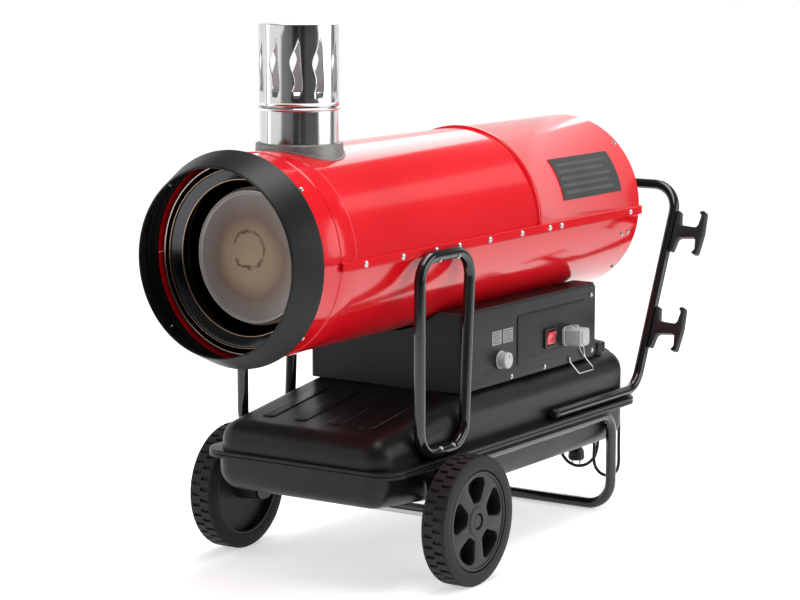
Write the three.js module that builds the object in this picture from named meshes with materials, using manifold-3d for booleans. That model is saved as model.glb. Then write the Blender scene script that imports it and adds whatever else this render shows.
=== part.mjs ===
// Indirect oil-fired forced air heater on two wheels. All sizes are in millimetres.
// +X runs from the air outlet to the push handle, -Y is the side with the controls, +Z is up.
// While it is built, x = 0 is the wide rear edge of the outlet ring. At the end the whole heater
// is moved along X, so that the origin lies on the floor under its middle.
import * as THREE from 'three';
import Module from 'manifold-3d';
import { mergeVertices } from 'three/addons/utils/BufferGeometryUtils.js';

const wasm = await Module();
wasm.setup();

// Clearances
const gap = 0.3;                  // between faces that touch
const nest = 0.6;                 // round an axle or a pin in its hole

// Facets of a full turn
const wide = 36;                  // barrel, ring and drums, which nest and so share one count
const middling = 28;              // flue, wheels
const narrow = 20;                // small turned pieces
const tubeSides = 12;

// Barrel: two upper shells on one lower shell
const barrelRadius = 188.5;
const barrelZ = 639.5;
const barrelRearX = 1181;
const sheet = 1.5;
const jointX = 752;               // where the two upper shells meet
const jointBand = 13;
const jointRise = 4.5;
const swageX = 62;                // pressed band round the front of the barrel
const swageWidth = 53;
const swageRise = 1.6;
const lipReach = 7;               // folded edge along each side seam
const lipDrop = 16;

// Outlet ring
const ringOverhang = 10.9;        // beyond the barrel
const ringTaper = 24.9;           // how much narrower its front edge is
const ringDepth = 58;
const ringWall = 2.2;
const ringLip = 3;
const ringSleeve = 28;

// Heat shield, heat exchanger and combustion chamber, one inside the other
const shieldSpace = 11;           // between the barrel and the shield
const shieldFrontX = 16;
const shieldRearX = 880;
const exchangerSpace = 12;        // between the shield and the exchanger
const exchangerDepth = 22;        // of its hollow wall
const exchangerSlope = 12;        // how far its front wall leans back to the bore
const exchangerFrontX = 18;
const exchangerRearX = 850;
const chamberSpace = 21.3;        // between the exchanger and the chamber
const chamberFrontX = 50;
const chamberRearX = 790;
const drumWall = 1.5;
const discRim = 3;
const discDome = 9;

// Flue
const flueX = 201;
const spigotRadius = 69.5;
const spigotRise = 40;            // this and the next two are heights above the barrel
const flueRadius = 73.3;
const flueWall = 1;
const collarRadius = 81.5;
const collarRise = 10;
const beadHeight = 75;
const beadRise = 4;
const capRadius = 74.8;
const capHeight = 154;            // above the bead
const slotCount = 11;
const slotFoot = 31;              // from the bead to the slots
const slotHead = 29;              // from the slots to the cap's top
const slotWidth = 17;

// Burner, motor and fan, all on the barrel's axis
const burnerTubeRadius = 45;
const burnerTubeFrontX = 765;
const blowerRadius = 85;
const blowerFrontX = 920;
const blowerDepth = 70;
const motorRadius = 62;
const motorLength = 100;
const motorFootWidth = 84;
const motorFootLength = 56;
const motorFootSheet = 4;
const shaftRadius = 7;
const fanHubRadius = 34;
const fanTipSpace = 21;
const fanRootChord = 44;
const fanTipChord = 88;
const bladeThickness = 2.5;
const fanBlades = 6;
const fanX = 1122;
const grilleX = 1172;
const grilleThickness = 2;

// Fuel tank
const tankSideGap = 0.8;          // to the frame's tubes
const tankFrontX = 183;
const tankRearX = 1130;
const tankTopZ = 337;
const tankNoseZ = 291;            // where the sloping top meets the front
const tankSlopeX = 492;
const tankBottomZ = 141;
const tankChinZ = 163;
const tankChinX = 400;
const tankRounding = 44;
const tankWall = 4;
const splitZ = 231;
const flangeFrontReach = 11;
const flangeRearReach = 10;
const flangeSideReach = 30;
const flangeCorner = 55;
const flangeThickness = 7;
const ribCount = 4;
const ribPitch = 75;
const ribWidth = 30;
const ribLength = 190;
const ribRise = 2.2;
const ribFrontX = 246;
const neckX = 1052;
const neckY = -150;
const neckRadius = 20;
const neckRise = 7;
const fuelCapRadius = 27;
const fuelCapHeight = 15;
const fuelLineRadius = 4;
const fuelLineRise = 30;          // of its arch above the filter
const filterHeight = 62;
const riserY = 108;

// Control housing
const housingFrontX = 482;
const housingRearX = 1008;
const housingHalfWidth = 180;
const housingTopZ = 494;
const housingSheet = 1.5;
const windowMargin = 12;
const panelThickness = 1.5;
const fieldRise = 1.8;            // raised field on the control panel
const knobX = 622;
const knobZ = 385;
const knobRadius = 16.5;
const knobDepth = 20;
const knobFlats = 12;
const switchX = 812;
const switchZ = 403;
const bezelWidth = 46;
const bezelHeight = 40;
const rockerWidth = 32;
const rockerHeight = 26;
const rockerTilt = 9;
const socketX = 884;
const socketZ = 398;
const socketWidth = 44;
const socketHeight = 40;
const plugDepth = 36;

// Tube frame, wheels and handle
const tubeRadius = 11;
const sideY = barrelRadius + lipReach + gap + tubeRadius;
const railFrontX = 330;
const legX = 1036;
const legBend = 45;
const footBend = 55;
const axleX = 359;
const axleRadius = 7;
const beamWidth = 28;
const beamThickness = 4.8;
const beamSpace = 1.2;            // above the axle
const wheelRadius = 125;
const wheelOuterY = 298.5;
const wheelWidth = 53;
const rimRadius = 97.2;
const lugCount = 20;
const lugHeight = 6;
const pocketCount = 5;
const pocketDepth = 32;
const bracketThickness = 6;
const loopFrontX = 293;
const loopRearTopX = 470;
const loopRearBottomX = 447;
const loopTopZ = 623;
const loopBend = 48;
const handleEndX = 801;
const handleBendX = 1140;
const handleTopZ = 671;
const handleLean = 24.5;
const handleBend = 62;
const hookLength = 92;
const hookReach = 84;
const hookThickness = 18;
const hookHeights = { upper: 575, lower: 376 };

// Mains lead
const cordRadius = 3.5;
const coilTurns = 1.75;           // in each of the two layers
const coilInner = 30;
const coilOuter = 45;
const coilX = 1149.6;
const coilY = -60;
const coilZ = 146;
const plugX = 1175;
const plugY = -44;
const plugZ = 68;
const glandY = -60;
const glandZ = 356;

// Sizes that follow from the ones above
const barrelInner = barrelRadius - sheet;
const barrelTopZ = barrelZ + barrelRadius;
const ringRadius = barrelRadius + ringOverhang;
const ringFrontRadius = ringRadius - ringTaper;
const shieldRadius = barrelInner - shieldSpace;
const exchangerRadius = shieldRadius - exchangerSpace;
const exchangerBore = exchangerRadius - exchangerDepth;
const chamberRadius = exchangerBore - chamberSpace;
const fanRadius = barrelInner - fanTipSpace;
const spigotTopZ = barrelTopZ + spigotRise;
const collarTopZ = barrelTopZ + collarRise;
const beadZ = barrelTopZ + beadHeight;
const capTopZ = beadZ + capHeight;
const slotBottomZ = beadZ + slotFoot;
const slotHeight = capHeight - slotFoot - slotHead;
const tankHalfWidth = sideY - tubeRadius - tankSideGap;
const flangeFrontX = tankFrontX - flangeFrontReach;
const flangeRearX = tankRearX + flangeRearReach;
const flangeHalfWidth = tankHalfWidth + flangeSideReach;
const railZ = splitZ - flangeThickness - gap - tubeRadius;
const flangeTopZ = splitZ + flangeThickness;
const seatZ = flangeTopZ + gap + tubeRadius;
const housingZ = tankTopZ + gap;
const panelY = -housingHalfWidth - gap;
const panelFaceY = panelY - panelThickness;
const motorFrontX = blowerFrontX + blowerDepth + gap;
const leanSlope = Math.tan(THREE.MathUtils.degToRad(handleLean));
const handleTopX = handleBendX + (handleTopZ - seatZ) * leanSlope;
const bracketY = sideY - bracketThickness / 2;
const tubeCorner = tubeRadius / Math.cos(Math.PI / tubeSides);   // so that the flats lie at the radius
const wheelInnerY = wheelOuterY - wheelWidth;

// Materials
const paint = (color, roughness, metalness) => new THREE.MeshStandardMaterial({ color, roughness, metalness });
const redPaint = () => paint(0xb80f17, 0.25, 0.1);
const blackPaint = () => paint(0x141415, 0.35, 0.1);
const satinBlack = () => paint(0x262829, 0.5, 0.1);
const stainless = () => paint(0xb9b9bb, 0.2, 1);
const heatSteel = () => paint(0x8a6f5c, 0.5, 0.8);
const galvanised = () => paint(0x8f9294, 0.45, 0.9);
const blackPlastic = () => paint(0x17181a, 0.5, 0);
const greyPlastic = () => paint(0x8f9295, 0.5, 0);
const redPlastic = () => paint(0xb3202c, 0.3, 0);
const rubber = () => paint(0x1d1b1c, 0.8, 0);
const brass = () => paint(0xa98645, 0.35, 0.9);
const ceramic = () => paint(0xe6e1d6, 0.4, 0);

// Solids -------------------------------------------------------------------------------------

// Turns a closed three.js geometry into a solid whose faces point outwards.
function solid(geometry) {
  const bare = geometry.clone();
  bare.deleteAttribute('normal');
  bare.deleteAttribute('uv');
  const merged = mergeVertices(bare, 1e-3);
  const points = merged.attributes.position;
  const corners = [0, 1, 2].map(() => new THREE.Vector3());
  let faces = [];
  let volume = 0;
  for (let i = 0; i < merged.index.count; i += 3) {
    const face = [0, 1, 2].map((k) => merged.index.getX(i + k));
    if (new Set(face).size < 3) continue;
    face.forEach((vertex, k) => corners[k].fromBufferAttribute(points, vertex));
    volume += corners[0].dot(corners[1].clone().cross(corners[2]));
    faces.push(...face);
  }
  if (volume < 0) faces = faces.reverse();
  return new wasm.Manifold(new wasm.Mesh({
    numProp: 3,
    vertProperties: Float32Array.from(points.array),
    triVerts: Uint32Array.from(faces),
  }));
}

const joined = (...solids) => solids.reduce((sum, next) => sum.add(next));
const cut = (body, ...tools) => tools.reduce((rest, tool) => rest.subtract(tool), body);

function toGeometry(body) {
  const mesh = body.getMesh();
  const geometry = new THREE.BufferGeometry();
  geometry.setAttribute('position', new THREE.BufferAttribute(mesh.vertProperties, 3));
  geometry.setIndex(new THREE.BufferAttribute(mesh.triVerts, 1));
  return geometry;
}

// Turned pieces: the profile lists [distance along the axis, radius] and closes on itself.
function lathe(profile, segments) {
  const outline = [...profile, profile[0]].map(([along, radius]) => new THREE.Vector2(radius, along));
  return new THREE.LatheGeometry(outline, segments);
}
const turnedX = (profile, y, z, segments = narrow) =>
  solid(lathe(profile, segments).rotateZ(-Math.PI / 2).translate(0, y, z));
const turnedY = (profile, x, z, segments = narrow) => solid(lathe(profile, segments).translate(x, 0, z));
const turnedZ = (profile, x, y, segments = narrow) =>
  solid(lathe(profile, segments).rotateX(Math.PI / 2).translate(x, y, 0));
const rod = (from, to, radius) => [[from, 0], [from, radius], [to, radius], [to, 0]];
const sleeve = (from, to, inner, outer) => [[from, inner], [from, outer], [to, outer], [to, inner]];
const onAxis = (profile, segments = wide) => turnedX(profile, 0, barrelZ, segments);

// The arc that rounds a corner, as points.
function roundedCorner(before, corner, after, radius, steps) {
  const back = before.clone().sub(corner).normalize();
  const on = after.clone().sub(corner).normalize();
  const turn = Math.PI - back.angleTo(on);
  if (!radius || turn < 1e-4) return [corner.clone()];
  const start = corner.clone().addScaledVector(back, radius * Math.tan(turn / 2));
  const inward = back.clone().add(on).normalize();
  const centre = corner.clone().addScaledVector(inward, radius / Math.cos(turn / 2));
  const axis = on.clone().cross(back).normalize();
  const arm = start.sub(centre);
  return Array.from({ length: steps + 1 }, (_, i) =>
    arm.clone().applyAxisAngle(axis, (turn * i) / steps).add(centre));
}

// A closed outline through corners [u, v, rounding].
function outline(corners, steps = 4) {
  const stops = corners.map(([u, v]) => new THREE.Vector3(u, v, 0));
  const points = stops.flatMap((corner, i) => roundedCorner(
    stops.at(i - 1), corner, stops[(i + 1) % stops.length], corners[i][2] || 0, steps));
  return points.map((p) => new THREE.Vector2(p.x, p.y));
}
const rectangle = (u0, v0, u1, v1, rounding = 0, steps = 4) =>
  outline([[u0, v0, rounding], [u1, v0, rounding], [u1, v1, rounding], [u0, v1, rounding]], steps);
const circle = (u, v, radius, count = narrow, turn = 0) => Array.from({ length: count }, (_, i) => {
  const angle = ((i + turn) / count) * 2 * Math.PI;
  return new THREE.Vector2(u + radius * Math.cos(angle), v + radius * Math.sin(angle));
});

function prism(points, holes, depth) {
  const shape = new THREE.Shape(points);
  shape.holes = holes.map((hole) => new THREE.Path(hole));
  return new THREE.ExtrudeGeometry(shape, { depth, bevelEnabled: false });
}
const alongX = new THREE.Matrix4().makeBasis(
  new THREE.Vector3(0, 1, 0), new THREE.Vector3(0, 0, 1), new THREE.Vector3(1, 0, 0));
const prismX = (points, x0, x1, holes = []) =>
  solid(prism(points, holes, x1 - x0).applyMatrix4(alongX).translate(x0, 0, 0));
const prismY = (points, y0, y1, holes = []) =>
  solid(prism(points, holes, y1 - y0).rotateX(Math.PI / 2).translate(0, y1, 0));
const prismZ = (points, z0, z1, holes = []) => solid(prism(points, holes, z1 - z0).translate(0, 0, z0));
const block = (x0, y0, z0, x1, y1, z1) => prismZ(rectangle(x0, y0, x1, y1), z0, z1);

// A bent tube: it passes its stops in order, and each section stands square to the bend.
class Route extends THREE.Curve {
  constructor(stops) {
    super();
    this.stops = stops;
  }

  getPoint(t, target = new THREE.Vector3()) {
    const place = t * (this.stops.length - 1);
    const i = Math.min(Math.floor(place), this.stops.length - 2);
    return target.lerpVectors(this.stops[i], this.stops[i + 1], place - i);
  }

  getPointAt(u, target) {
    return this.getPoint(u, target);
  }

  getSpacedPoints() {
    return this.stops.map((stop) => stop.clone());
  }

  getTangentAt(u, target = new THREE.Vector3()) {
    const i = Math.round(u * (this.stops.length - 1));
    const before = this.stops[Math.max(i - 1, 0)];
    const after = this.stops[Math.min(i + 1, this.stops.length - 1)];
    return target.subVectors(after, before).normalize();
  }
}

function tube(stops, radius, sides = tubeSides) {
  const section = new THREE.Shape(circle(0, 0, radius, sides, 0.5));
  const settings = { steps: stops.length - 1, extrudePath: new Route(stops) };
  return solid(new THREE.ExtrudeGeometry(section, settings));
}

// Corners [x, y, z, bend radius] become the stops of a bent tube.
function bent(corners, steps = 3) {
  const stops = corners.map(([x, y, z]) => new THREE.Vector3(x, y, z));
  return stops.flatMap((corner, i) => {
    if (i === 0 || i === stops.length - 1) return [corner];
    return roundedCorner(stops[i - 1], corner, stops[i + 1], corners[i][3], steps);
  });
}

// Barrel -------------------------------------------------------------------------------------

const farOut = 2000;
const above = (z) => block(-farOut, -farOut, z, farOut, farOut, farOut);
const below = (z) => block(-farOut, -farOut, -farOut, farOut, farOut, z);

const swage = [
  [swageX, 0], [swageX + 4, swageRise], [swageX + swageWidth - 4, swageRise], [swageX + swageWidth, 0],
];
// A rolled shell whose steps list [x, rise above the barrel's radius].
function rolled(steps) {
  const outer = steps.map(([x, rise]) => [x, barrelRadius + rise]);
  return onAxis([...outer, [steps.at(-1)[0], barrelInner], [steps[0][0], barrelInner]]);
}

function sideLips(x0, x1) {
  const reach = barrelRadius + lipReach;
  return [-1, 1].map((side) => prismX(outline([
    [side * (barrelInner + 0.4), barrelZ], [side * (reach - sheet), barrelZ],
    [side * (reach - sheet), barrelZ - lipDrop], [side * reach, barrelZ - lipDrop],
    [side * reach, barrelZ + sheet], [side * (barrelInner + 0.4), barrelZ + sheet],
  ]), x0, x1));
}

const flueHole = () => turnedZ(rod(barrelZ, barrelTopZ + barrelRadius, spigotRadius + 2), flueX, 0);

function barrelUpperFront() {
  const shell = rolled([[gap, 0], ...swage, [jointX - gap, 0]]).intersect(above(barrelZ));
  return cut(joined(shell, ...sideLips(swageX, jointX - gap)), flueHole());
}

function barrelUpperRear() {
  const band = [[jointX, 0], [jointX + 1, jointRise], [jointX + jointBand, jointRise], [jointX + jointBand + 3, 0]];
  const shell = rolled([...band, [barrelRearX, 0]]).intersect(above(barrelZ));
  return joined(shell, ...sideLips(jointX, barrelRearX));
}

const riserX = blowerFrontX + blowerDepth / 2;

function barrelLower() {
  const shell = rolled([[gap, 0], ...swage, [barrelRearX, 0]]).intersect(below(barrelZ - gap));
  return cut(shell, turnedZ(rod(0, barrelZ, 7), riserX, riserY, 16));
}

function frontRing() {
  const slope = (ringRadius - ringFrontRadius) / ringDepth;
  const innerFoot = ringRadius - ringWall * (1 + slope);
  const lip = -ringDepth;
  const sleeveRadius = barrelInner - gap;
  return onAxis([
    [0, ringRadius],
    [lip, ringFrontRadius],
    [lip - ringLip, ringFrontRadius - 2],
    [lip - ringLip, ringFrontRadius - 5],
    [lip + 2, ringFrontRadius - ringWall + 2 * slope],
    [-ringWall, innerFoot],
    [-ringWall, sleeveRadius - sheet],
    [ringSleeve, sleeveRadius - sheet],
    [ringSleeve, sleeveRadius],
    [0, sleeveRadius],
  ]);
}

// Three feet that stand on a drum and reach out to the facets of the wall round it.
const insideFacets = (radius) => radius * Math.cos(Math.PI / wide) - gap;
function drumFeet(inner, outer, x, length) {
  const width = 16;
  return [1, 3, 5].map((sixth) => {
    const foot = prism(rectangle(-width / 2, inner, width / 2, outer), [], length).applyMatrix4(alongX);
    foot.rotateX((sixth * Math.PI) / 3).translate(x, 0, barrelZ);
    return solid(foot);
  });
}

function heatShield() {
  const shell = onAxis(sleeve(shieldFrontX, shieldRearX, shieldRadius - drumWall, shieldRadius));
  const reach = insideFacets(barrelInner);
  const feet = [120, shieldRearX - 60].flatMap((x) => drumFeet(shieldRadius - 0.8, reach, x, 20));
  return cut(joined(shell, ...feet), flueHole());
}

function heatExchanger() {
  const front = exchangerFrontX;
  const rear = exchangerRearX;
  const drum = onAxis([
    [front, exchangerRadius], [rear, exchangerRadius], [rear, exchangerBore], [front + exchangerSlope, exchangerBore],
  ]);
  const cavity = onAxis([
    [front + 2 * drumWall, exchangerRadius - drumWall], [rear - drumWall, exchangerRadius - drumWall],
    [rear - drumWall, exchangerBore + drumWall], [front + exchangerSlope + drumWall, exchangerBore + drumWall],
  ]);
  const reach = insideFacets(shieldRadius - drumWall);
  const feet = [150, rear - 40].flatMap((x) => drumFeet(exchangerRadius - 0.8, reach, x, 20));
  const foot = barrelZ + exchangerBore + drumWall + 1;
  const spigot = turnedZ(rod(foot, spigotTopZ, spigotRadius), flueX, 0);
  const bore = turnedZ(rod(foot - 0.5, spigotTopZ + 1, spigotRadius - drumWall), flueX, 0);
  return cut(joined(cut(drum, cavity), spigot, ...feet), bore);
}

function combustionChamber() {
  const inner = chamberRadius - drumWall;
  const front = chamberFrontX + discRim + gap;
  const shell = onAxis([
    [front, inner], [front, chamberRadius], [chamberRearX, chamberRadius],
    [chamberRearX, burnerTubeRadius + nest], [chamberRearX - drumWall, burnerTubeRadius + nest],
    [chamberRearX - drumWall, inner],
  ]);
  const reach = insideFacets(exchangerBore);
  const feet = [200, chamberRearX - 80].flatMap((x) => drumFeet(chamberRadius - 0.8, reach, x, 30));
  return joined(shell, ...feet);
}

// The chamber's pressed end: a raised rim, a groove and a shallow dome.
function chamberEndDisc() {
  const front = chamberFrontX;
  const back = chamberFrontX + discRim;
  const rimWidth = 4;
  const domeEdge = chamberRadius - rimWidth - 3;
  const dome = [0, 0.4, 0.75].map((share) =>
    [front + 2 - discDome * (1 - share * share), domeEdge * share]);
  return onAxis([
    ...dome,
    [front + 2, domeEdge],
    [front, chamberRadius - rimWidth],
    [front, chamberRadius],
    [back, chamberRadius],
    [back, 0],
  ]);
}

function rearGrille() {
  const radius = barrelInner - gap;
  const rings = 3;
  const spokes = 4;
  const hub = 30;
  const pitch = (radius - 8 - hub) / rings;
  const bar = 5;
  const holes = [];
  for (let ring = 0; ring < rings; ring += 1) {
    const inner = hub + ring * pitch + bar / 2;
    const outer = hub + (ring + 1) * pitch - bar / 2;
    for (let spoke = 0; spoke < spokes; spoke += 1) {
      const middle = (spoke + 0.5) * (2 * Math.PI / spokes);
      const arc = (r) => {
        const half = Math.PI / spokes - bar / 2 / r;
        return [-1, 0, 1].map((side) => new THREE.Vector2(
          r * Math.cos(middle + side * half), barrelZ + r * Math.sin(middle + side * half)));
      };
      holes.push([...arc(inner), ...arc(outer).reverse()]);
    }
  }
  return prismX(circle(0, barrelZ, radius, wide), grilleX, grilleX + grilleThickness, holes);
}

// Flue ---------------------------------------------------------------------------------------

function flueCollar() {
  const inner = flueRadius + gap;
  const ring = turnedZ([
    [barrelTopZ - collarRadius / 2, inner], [barrelTopZ - collarRadius / 2, collarRadius],
    [collarTopZ - 3, collarRadius], [collarTopZ, collarRadius - 3], [collarTopZ, inner],
  ], flueX, 0, middling);
  return cut(ring, onAxis(rod(0, jointX, barrelRadius + gap)));
}

function fluePipe() {
  const bottom = barrelTopZ + gap;
  const inner = flueRadius - flueWall;
  return turnedZ([
    [bottom, inner], [bottom, flueRadius], [beadZ - 5, flueRadius], [beadZ - 3, flueRadius + beadRise],
    [beadZ + 1, flueRadius + beadRise], [beadZ + 3, flueRadius], [beadZ + 14, flueRadius], [beadZ + 14, inner],
  ], flueX, 0, middling);
}

// One slot of the cap: a flame with wavy sides, a pointed tip and a flat foot.
function flame() {
  const steps = 3;
  const side = (sign) => Array.from({ length: steps }, (_, i) => {
    const rise = i / steps;
    const sway = 3 * Math.sin(rise * 2.6 * Math.PI);
    const half = (slotWidth / 2) * (1 - 0.22 * Math.sin(rise * Math.PI * 2.4)) * Math.min(1, 2.3 * (1 - rise));
    return new THREE.Vector2(sway + sign * half, slotBottomZ + rise * slotHeight);
  });
  return [...side(1), new THREE.Vector2(0.5, slotBottomZ + slotHeight), ...side(-1).reverse()];
}

function flueCap() {
  const bottom = beadZ + 3 + gap;
  const inner = capRadius - flueWall;
  const shell = turnedZ([
    [bottom, inner], [bottom, capRadius], [capTopZ - 2, capRadius], [capTopZ, capRadius - 2],
    [capTopZ, 0], [capTopZ - flueWall, 0], [capTopZ - flueWall, inner],
  ], flueX, 0, middling);
  const slots = Array.from({ length: slotCount }, (_, i) => {
    const slot = prism(flame(), [], capRadius).applyMatrix4(alongX);
    return solid(slot.rotateZ(((i + 0.5) / slotCount) * 2 * Math.PI).translate(flueX, 0, 0));
  });
  return cut(shell, ...slots);
}

// Burner, motor and fan ----------------------------------------------------------------------

const burnerTube = () => onAxis(
  sleeve(burnerTubeFrontX, blowerFrontX - gap, burnerTubeRadius - drumWall, burnerTubeRadius), narrow);

const nozzleX = burnerTubeFrontX + 35;
const burnerNozzle = () => onAxis([
  [nozzleX, 0], [nozzleX, 4], [nozzleX + 6, 10], [nozzleX + 20, 10], [nozzleX + 20, 6],
  [blowerFrontX - gap, 6], [blowerFrontX - gap, 0],
], 12);

function ignitionElectrodes() {
  const z = barrelZ + 6 + gap;
  const holder = block(nozzleX + 40, -14, z, nozzleX + 75, 14, z + 10);
  const wires = [-1, 1].map((side) => tube(bent([
    [nozzleX + 45, side * 9, z + 5], [nozzleX + 4, side * 9, z + 5, 4], [nozzleX - 6, side * 2.5, z + 3],
  ], 2), 1.5, 6));
  return joined(holder, ...wires);
}

const motorSides = 24;
const burnerBlower = () => onAxis([
  [blowerFrontX, 0], [blowerFrontX, blowerRadius - 8], [blowerFrontX + 8, blowerRadius],
  [blowerFrontX + blowerDepth - 8, blowerRadius], [blowerFrontX + blowerDepth, blowerRadius - 8],
  [blowerFrontX + blowerDepth, 0],
], motorSides);

const fuelPump = () => turnedY([
  [blowerRadius + gap, 0], [blowerRadius + gap, 14], [blowerRadius + 6, 14], [blowerRadius + 6, 22],
  [blowerRadius + 44, 22], [blowerRadius + 48, 18], [blowerRadius + 48, 0],
], riserX, barrelZ);

const filterX = (housingFrontX + housingRearX) / 2 + 55;
const filterTopZ = housingZ + filterHeight;

function fuelFilter() {
  return turnedZ([
    [housingZ, 0], [housingZ, 20], [housingZ + 36, 24], [housingZ + 40, 28], [housingZ + 52, 28],
    [filterTopZ, 12], [filterTopZ, 0],
  ], filterX, riserY, 16);
}

function fuelLine() {
  const turnZ = filterTopZ + fuelLineRise;
  return tube(bent([
    [filterX, riserY, filterTopZ + gap], [filterX, riserY, turnZ, 16],
    [riserX, riserY, turnZ, 16], [riserX, riserY, barrelZ - 22 - gap],
  ], 3), fuelLineRadius, 6);
}

function fanMotor() {
  const rear = motorFrontX + motorLength;
  return onAxis([
    [motorFrontX, 0], [motorFrontX, motorRadius - 10], [motorFrontX + 12, motorRadius],
    [rear - 12, motorRadius], [rear, motorRadius - 12], [rear, 20], [rear + 8, 18],
    [rear + 8, shaftRadius + nest], [rear - 20, shaftRadius + nest], [rear - 20, 0],
  ], motorSides);
}

function motorBracket() {
  const half = motorFootWidth / 2;
  const x0 = motorFrontX + (motorLength - motorFootLength) / 2;
  const x1 = x0 + motorFootLength;
  const stand = block(x0, -half, barrelZ - barrelRadius, x1, half, barrelZ - 20);
  const inside = block(
    x0 + motorFootSheet, -half - 1, barrelZ - barrelInner + 14, x1 - motorFootSheet, half + 1, barrelZ);
  const motor = onAxis(rod(x0 - 1, x1 + 1, motorRadius + gap), motorSides);
  return cut(stand.intersect(onAxis(rod(x0, x1, barrelInner - gap))), motor, inside);
}

function fan() {
  const pitchAngle = 0.55;
  const root = fanRootChord / 2;
  const tip = fanTipChord / 2;
  const blade = prism(outline([
    [-root, fanHubRadius - 6], [root, fanHubRadius - 6], [tip + 4, fanRadius - 12, 20],
    [-tip + 4, fanRadius - 6, 30],
  ], 2), [], bladeThickness);
  const blades = Array.from({ length: fanBlades }, (_, i) => {
    const turned = blade.clone().translate(0, 0, -bladeThickness / 2).rotateY(Math.PI / 2 - pitchAngle);
    turned.rotateX(Math.PI / 2 + (i / fanBlades) * 2 * Math.PI).translate(fanX, 0, barrelZ);
    return solid(turned);
  });
  const hub = onAxis([
    [motorFrontX + motorLength - 14, 0], [motorFrontX + motorLength - 14, shaftRadius],
    [fanX - 20, shaftRadius], [fanX - 20, 24], [fanX - 14, fanHubRadius], [fanX + 16, fanHubRadius],
    [fanX + 22, 26], [fanX + 22, 0],
  ], 16);
  return joined(hub, ...blades);
}

// Tank ---------------------------------------------------------------------------------------

// A moulded half: a side profile carried across the heater with all its edges rounded alike.
function moulded(corners, inset) {
  const steps = inset ? 2 : 4;          // the inside is left plainer
  const rounding = tankRounding - 1 - inset;
  const halfWidth = tankHalfWidth - inset;
  const geometry = new THREE.ExtrudeGeometry(new THREE.Shape(outline(corners, steps)), {
    depth: 2 * (halfWidth - rounding),
    bevelEnabled: true,
    bevelSize: rounding,
    bevelThickness: rounding,
    bevelOffset: -rounding,
    bevelSegments: steps,
  });
  return solid(geometry.rotateX(Math.PI / 2).translate(0, halfWidth - rounding, 0));
}

const flange = (z0, z1) => prismZ(
  rectangle(flangeFrontX, -flangeHalfWidth, flangeRearX, flangeHalfWidth, flangeCorner, 6), z0, z1);
const strapHole = () => block(flangeRearX - 8.5, coilY - 5, splitZ - 20, flangeRearX - 4.5, coilY + 5, splitZ + 20);

function upperForm(inset) {
  const spare = 2 * tankRounding;       // hidden depth below the split, so that the side walls stay plumb
  const r = tankRounding - inset;
  return moulded([
    [tankFrontX + inset, splitZ - spare, r],
    [tankRearX - inset, splitZ - spare, r],
    [tankRearX - inset, tankTopZ - inset, r],
    [tankSlopeX, tankTopZ - inset, 80],
    [tankFrontX + inset, tankNoseZ - inset, r],
  ], inset);
}

const topSlope = Math.atan((tankTopZ - tankNoseZ) / (tankSlopeX - tankFrontX));

function topRibs() {
  return Array.from({ length: ribCount }, (_, i) => {
    const y = (i - (ribCount - 1) / 2) * ribPitch;
    const rib = prism(rectangle(0, y - ribWidth / 2, ribLength, y + ribWidth / 2, 6, 1), [], ribRise + 3);
    rib.translate(0, 0, -3).rotateY(-topSlope);
    return solid(rib.translate(ribFrontX, 0, tankNoseZ + (ribFrontX - tankFrontX) * Math.tan(topSlope)));
  });
}

function tankUpper() {
  const shell = upperForm(0).intersect(above(splitZ));
  const neck = turnedZ(rod(tankTopZ - tankWall, tankTopZ + neckRise, neckRadius), neckX, neckY);
  const bore = turnedZ(rod(tankTopZ - 4 * tankWall, tankTopZ + neckRise + 1, neckRadius - 3), neckX, neckY);
  const body = joined(shell, flange(splitZ, flangeTopZ), ...topRibs(), neck);
  return cut(body, upperForm(tankWall), bore, strapHole());
}

function lowerForm(inset) {
  const spare = 2 * tankRounding;
  const r = tankRounding - inset;
  return moulded([
    [tankFrontX - 8 + inset, tankChinZ + inset, r],
    [tankChinX, tankBottomZ + inset, 80],
    [tankRearX - inset, tankBottomZ + inset, r],
    [tankRearX - inset, splitZ + spare, r],
    [tankFrontX - 8 + inset, splitZ + spare, r],
  ], inset);
}

function tankLower() {
  const top = splitZ - gap;
  const body = joined(lowerForm(0).intersect(below(top)), flange(splitZ - flangeThickness, top));
  return cut(body, lowerForm(tankWall), strapHole());
}

function fuelCap() {
  const bottom = tankTopZ + gap + 1;
  const top = tankTopZ + neckRise + fuelCapHeight;
  const lobes = Array.from({ length: 8 }, (_, i) => [
    [0.25, fuelCapRadius], [0.75, fuelCapRadius - 3],
  ].map(([share, r]) => {
    const angle = ((i + share) / 8) * 2 * Math.PI;
    return new THREE.Vector2(neckX + r * Math.cos(angle), neckY + r * Math.sin(angle));
  })).flat();
  const crown = turnedZ([[top - 1, 0], [top - 1, 19], [top + 2, 16], [top + 2, 0]], neckX, neckY);
  const inside = turnedZ(rod(bottom - 1, tankTopZ + neckRise + gap, neckRadius + nest), neckX, neckY);
  return cut(joined(prismZ(lobes, bottom, top), crown), inside);
}

const drainPlug = () => turnedZ([
  [tankBottomZ - gap, 0], [tankBottomZ - gap, 13], [tankBottomZ - 4, 13], [tankBottomZ - 4, 9],
  [tankBottomZ - 12, 9], [tankBottomZ - 12, 0],
], (tankChinX + tankRearX) / 2, 0, 6);

// Control housing ----------------------------------------------------------------------------

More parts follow.
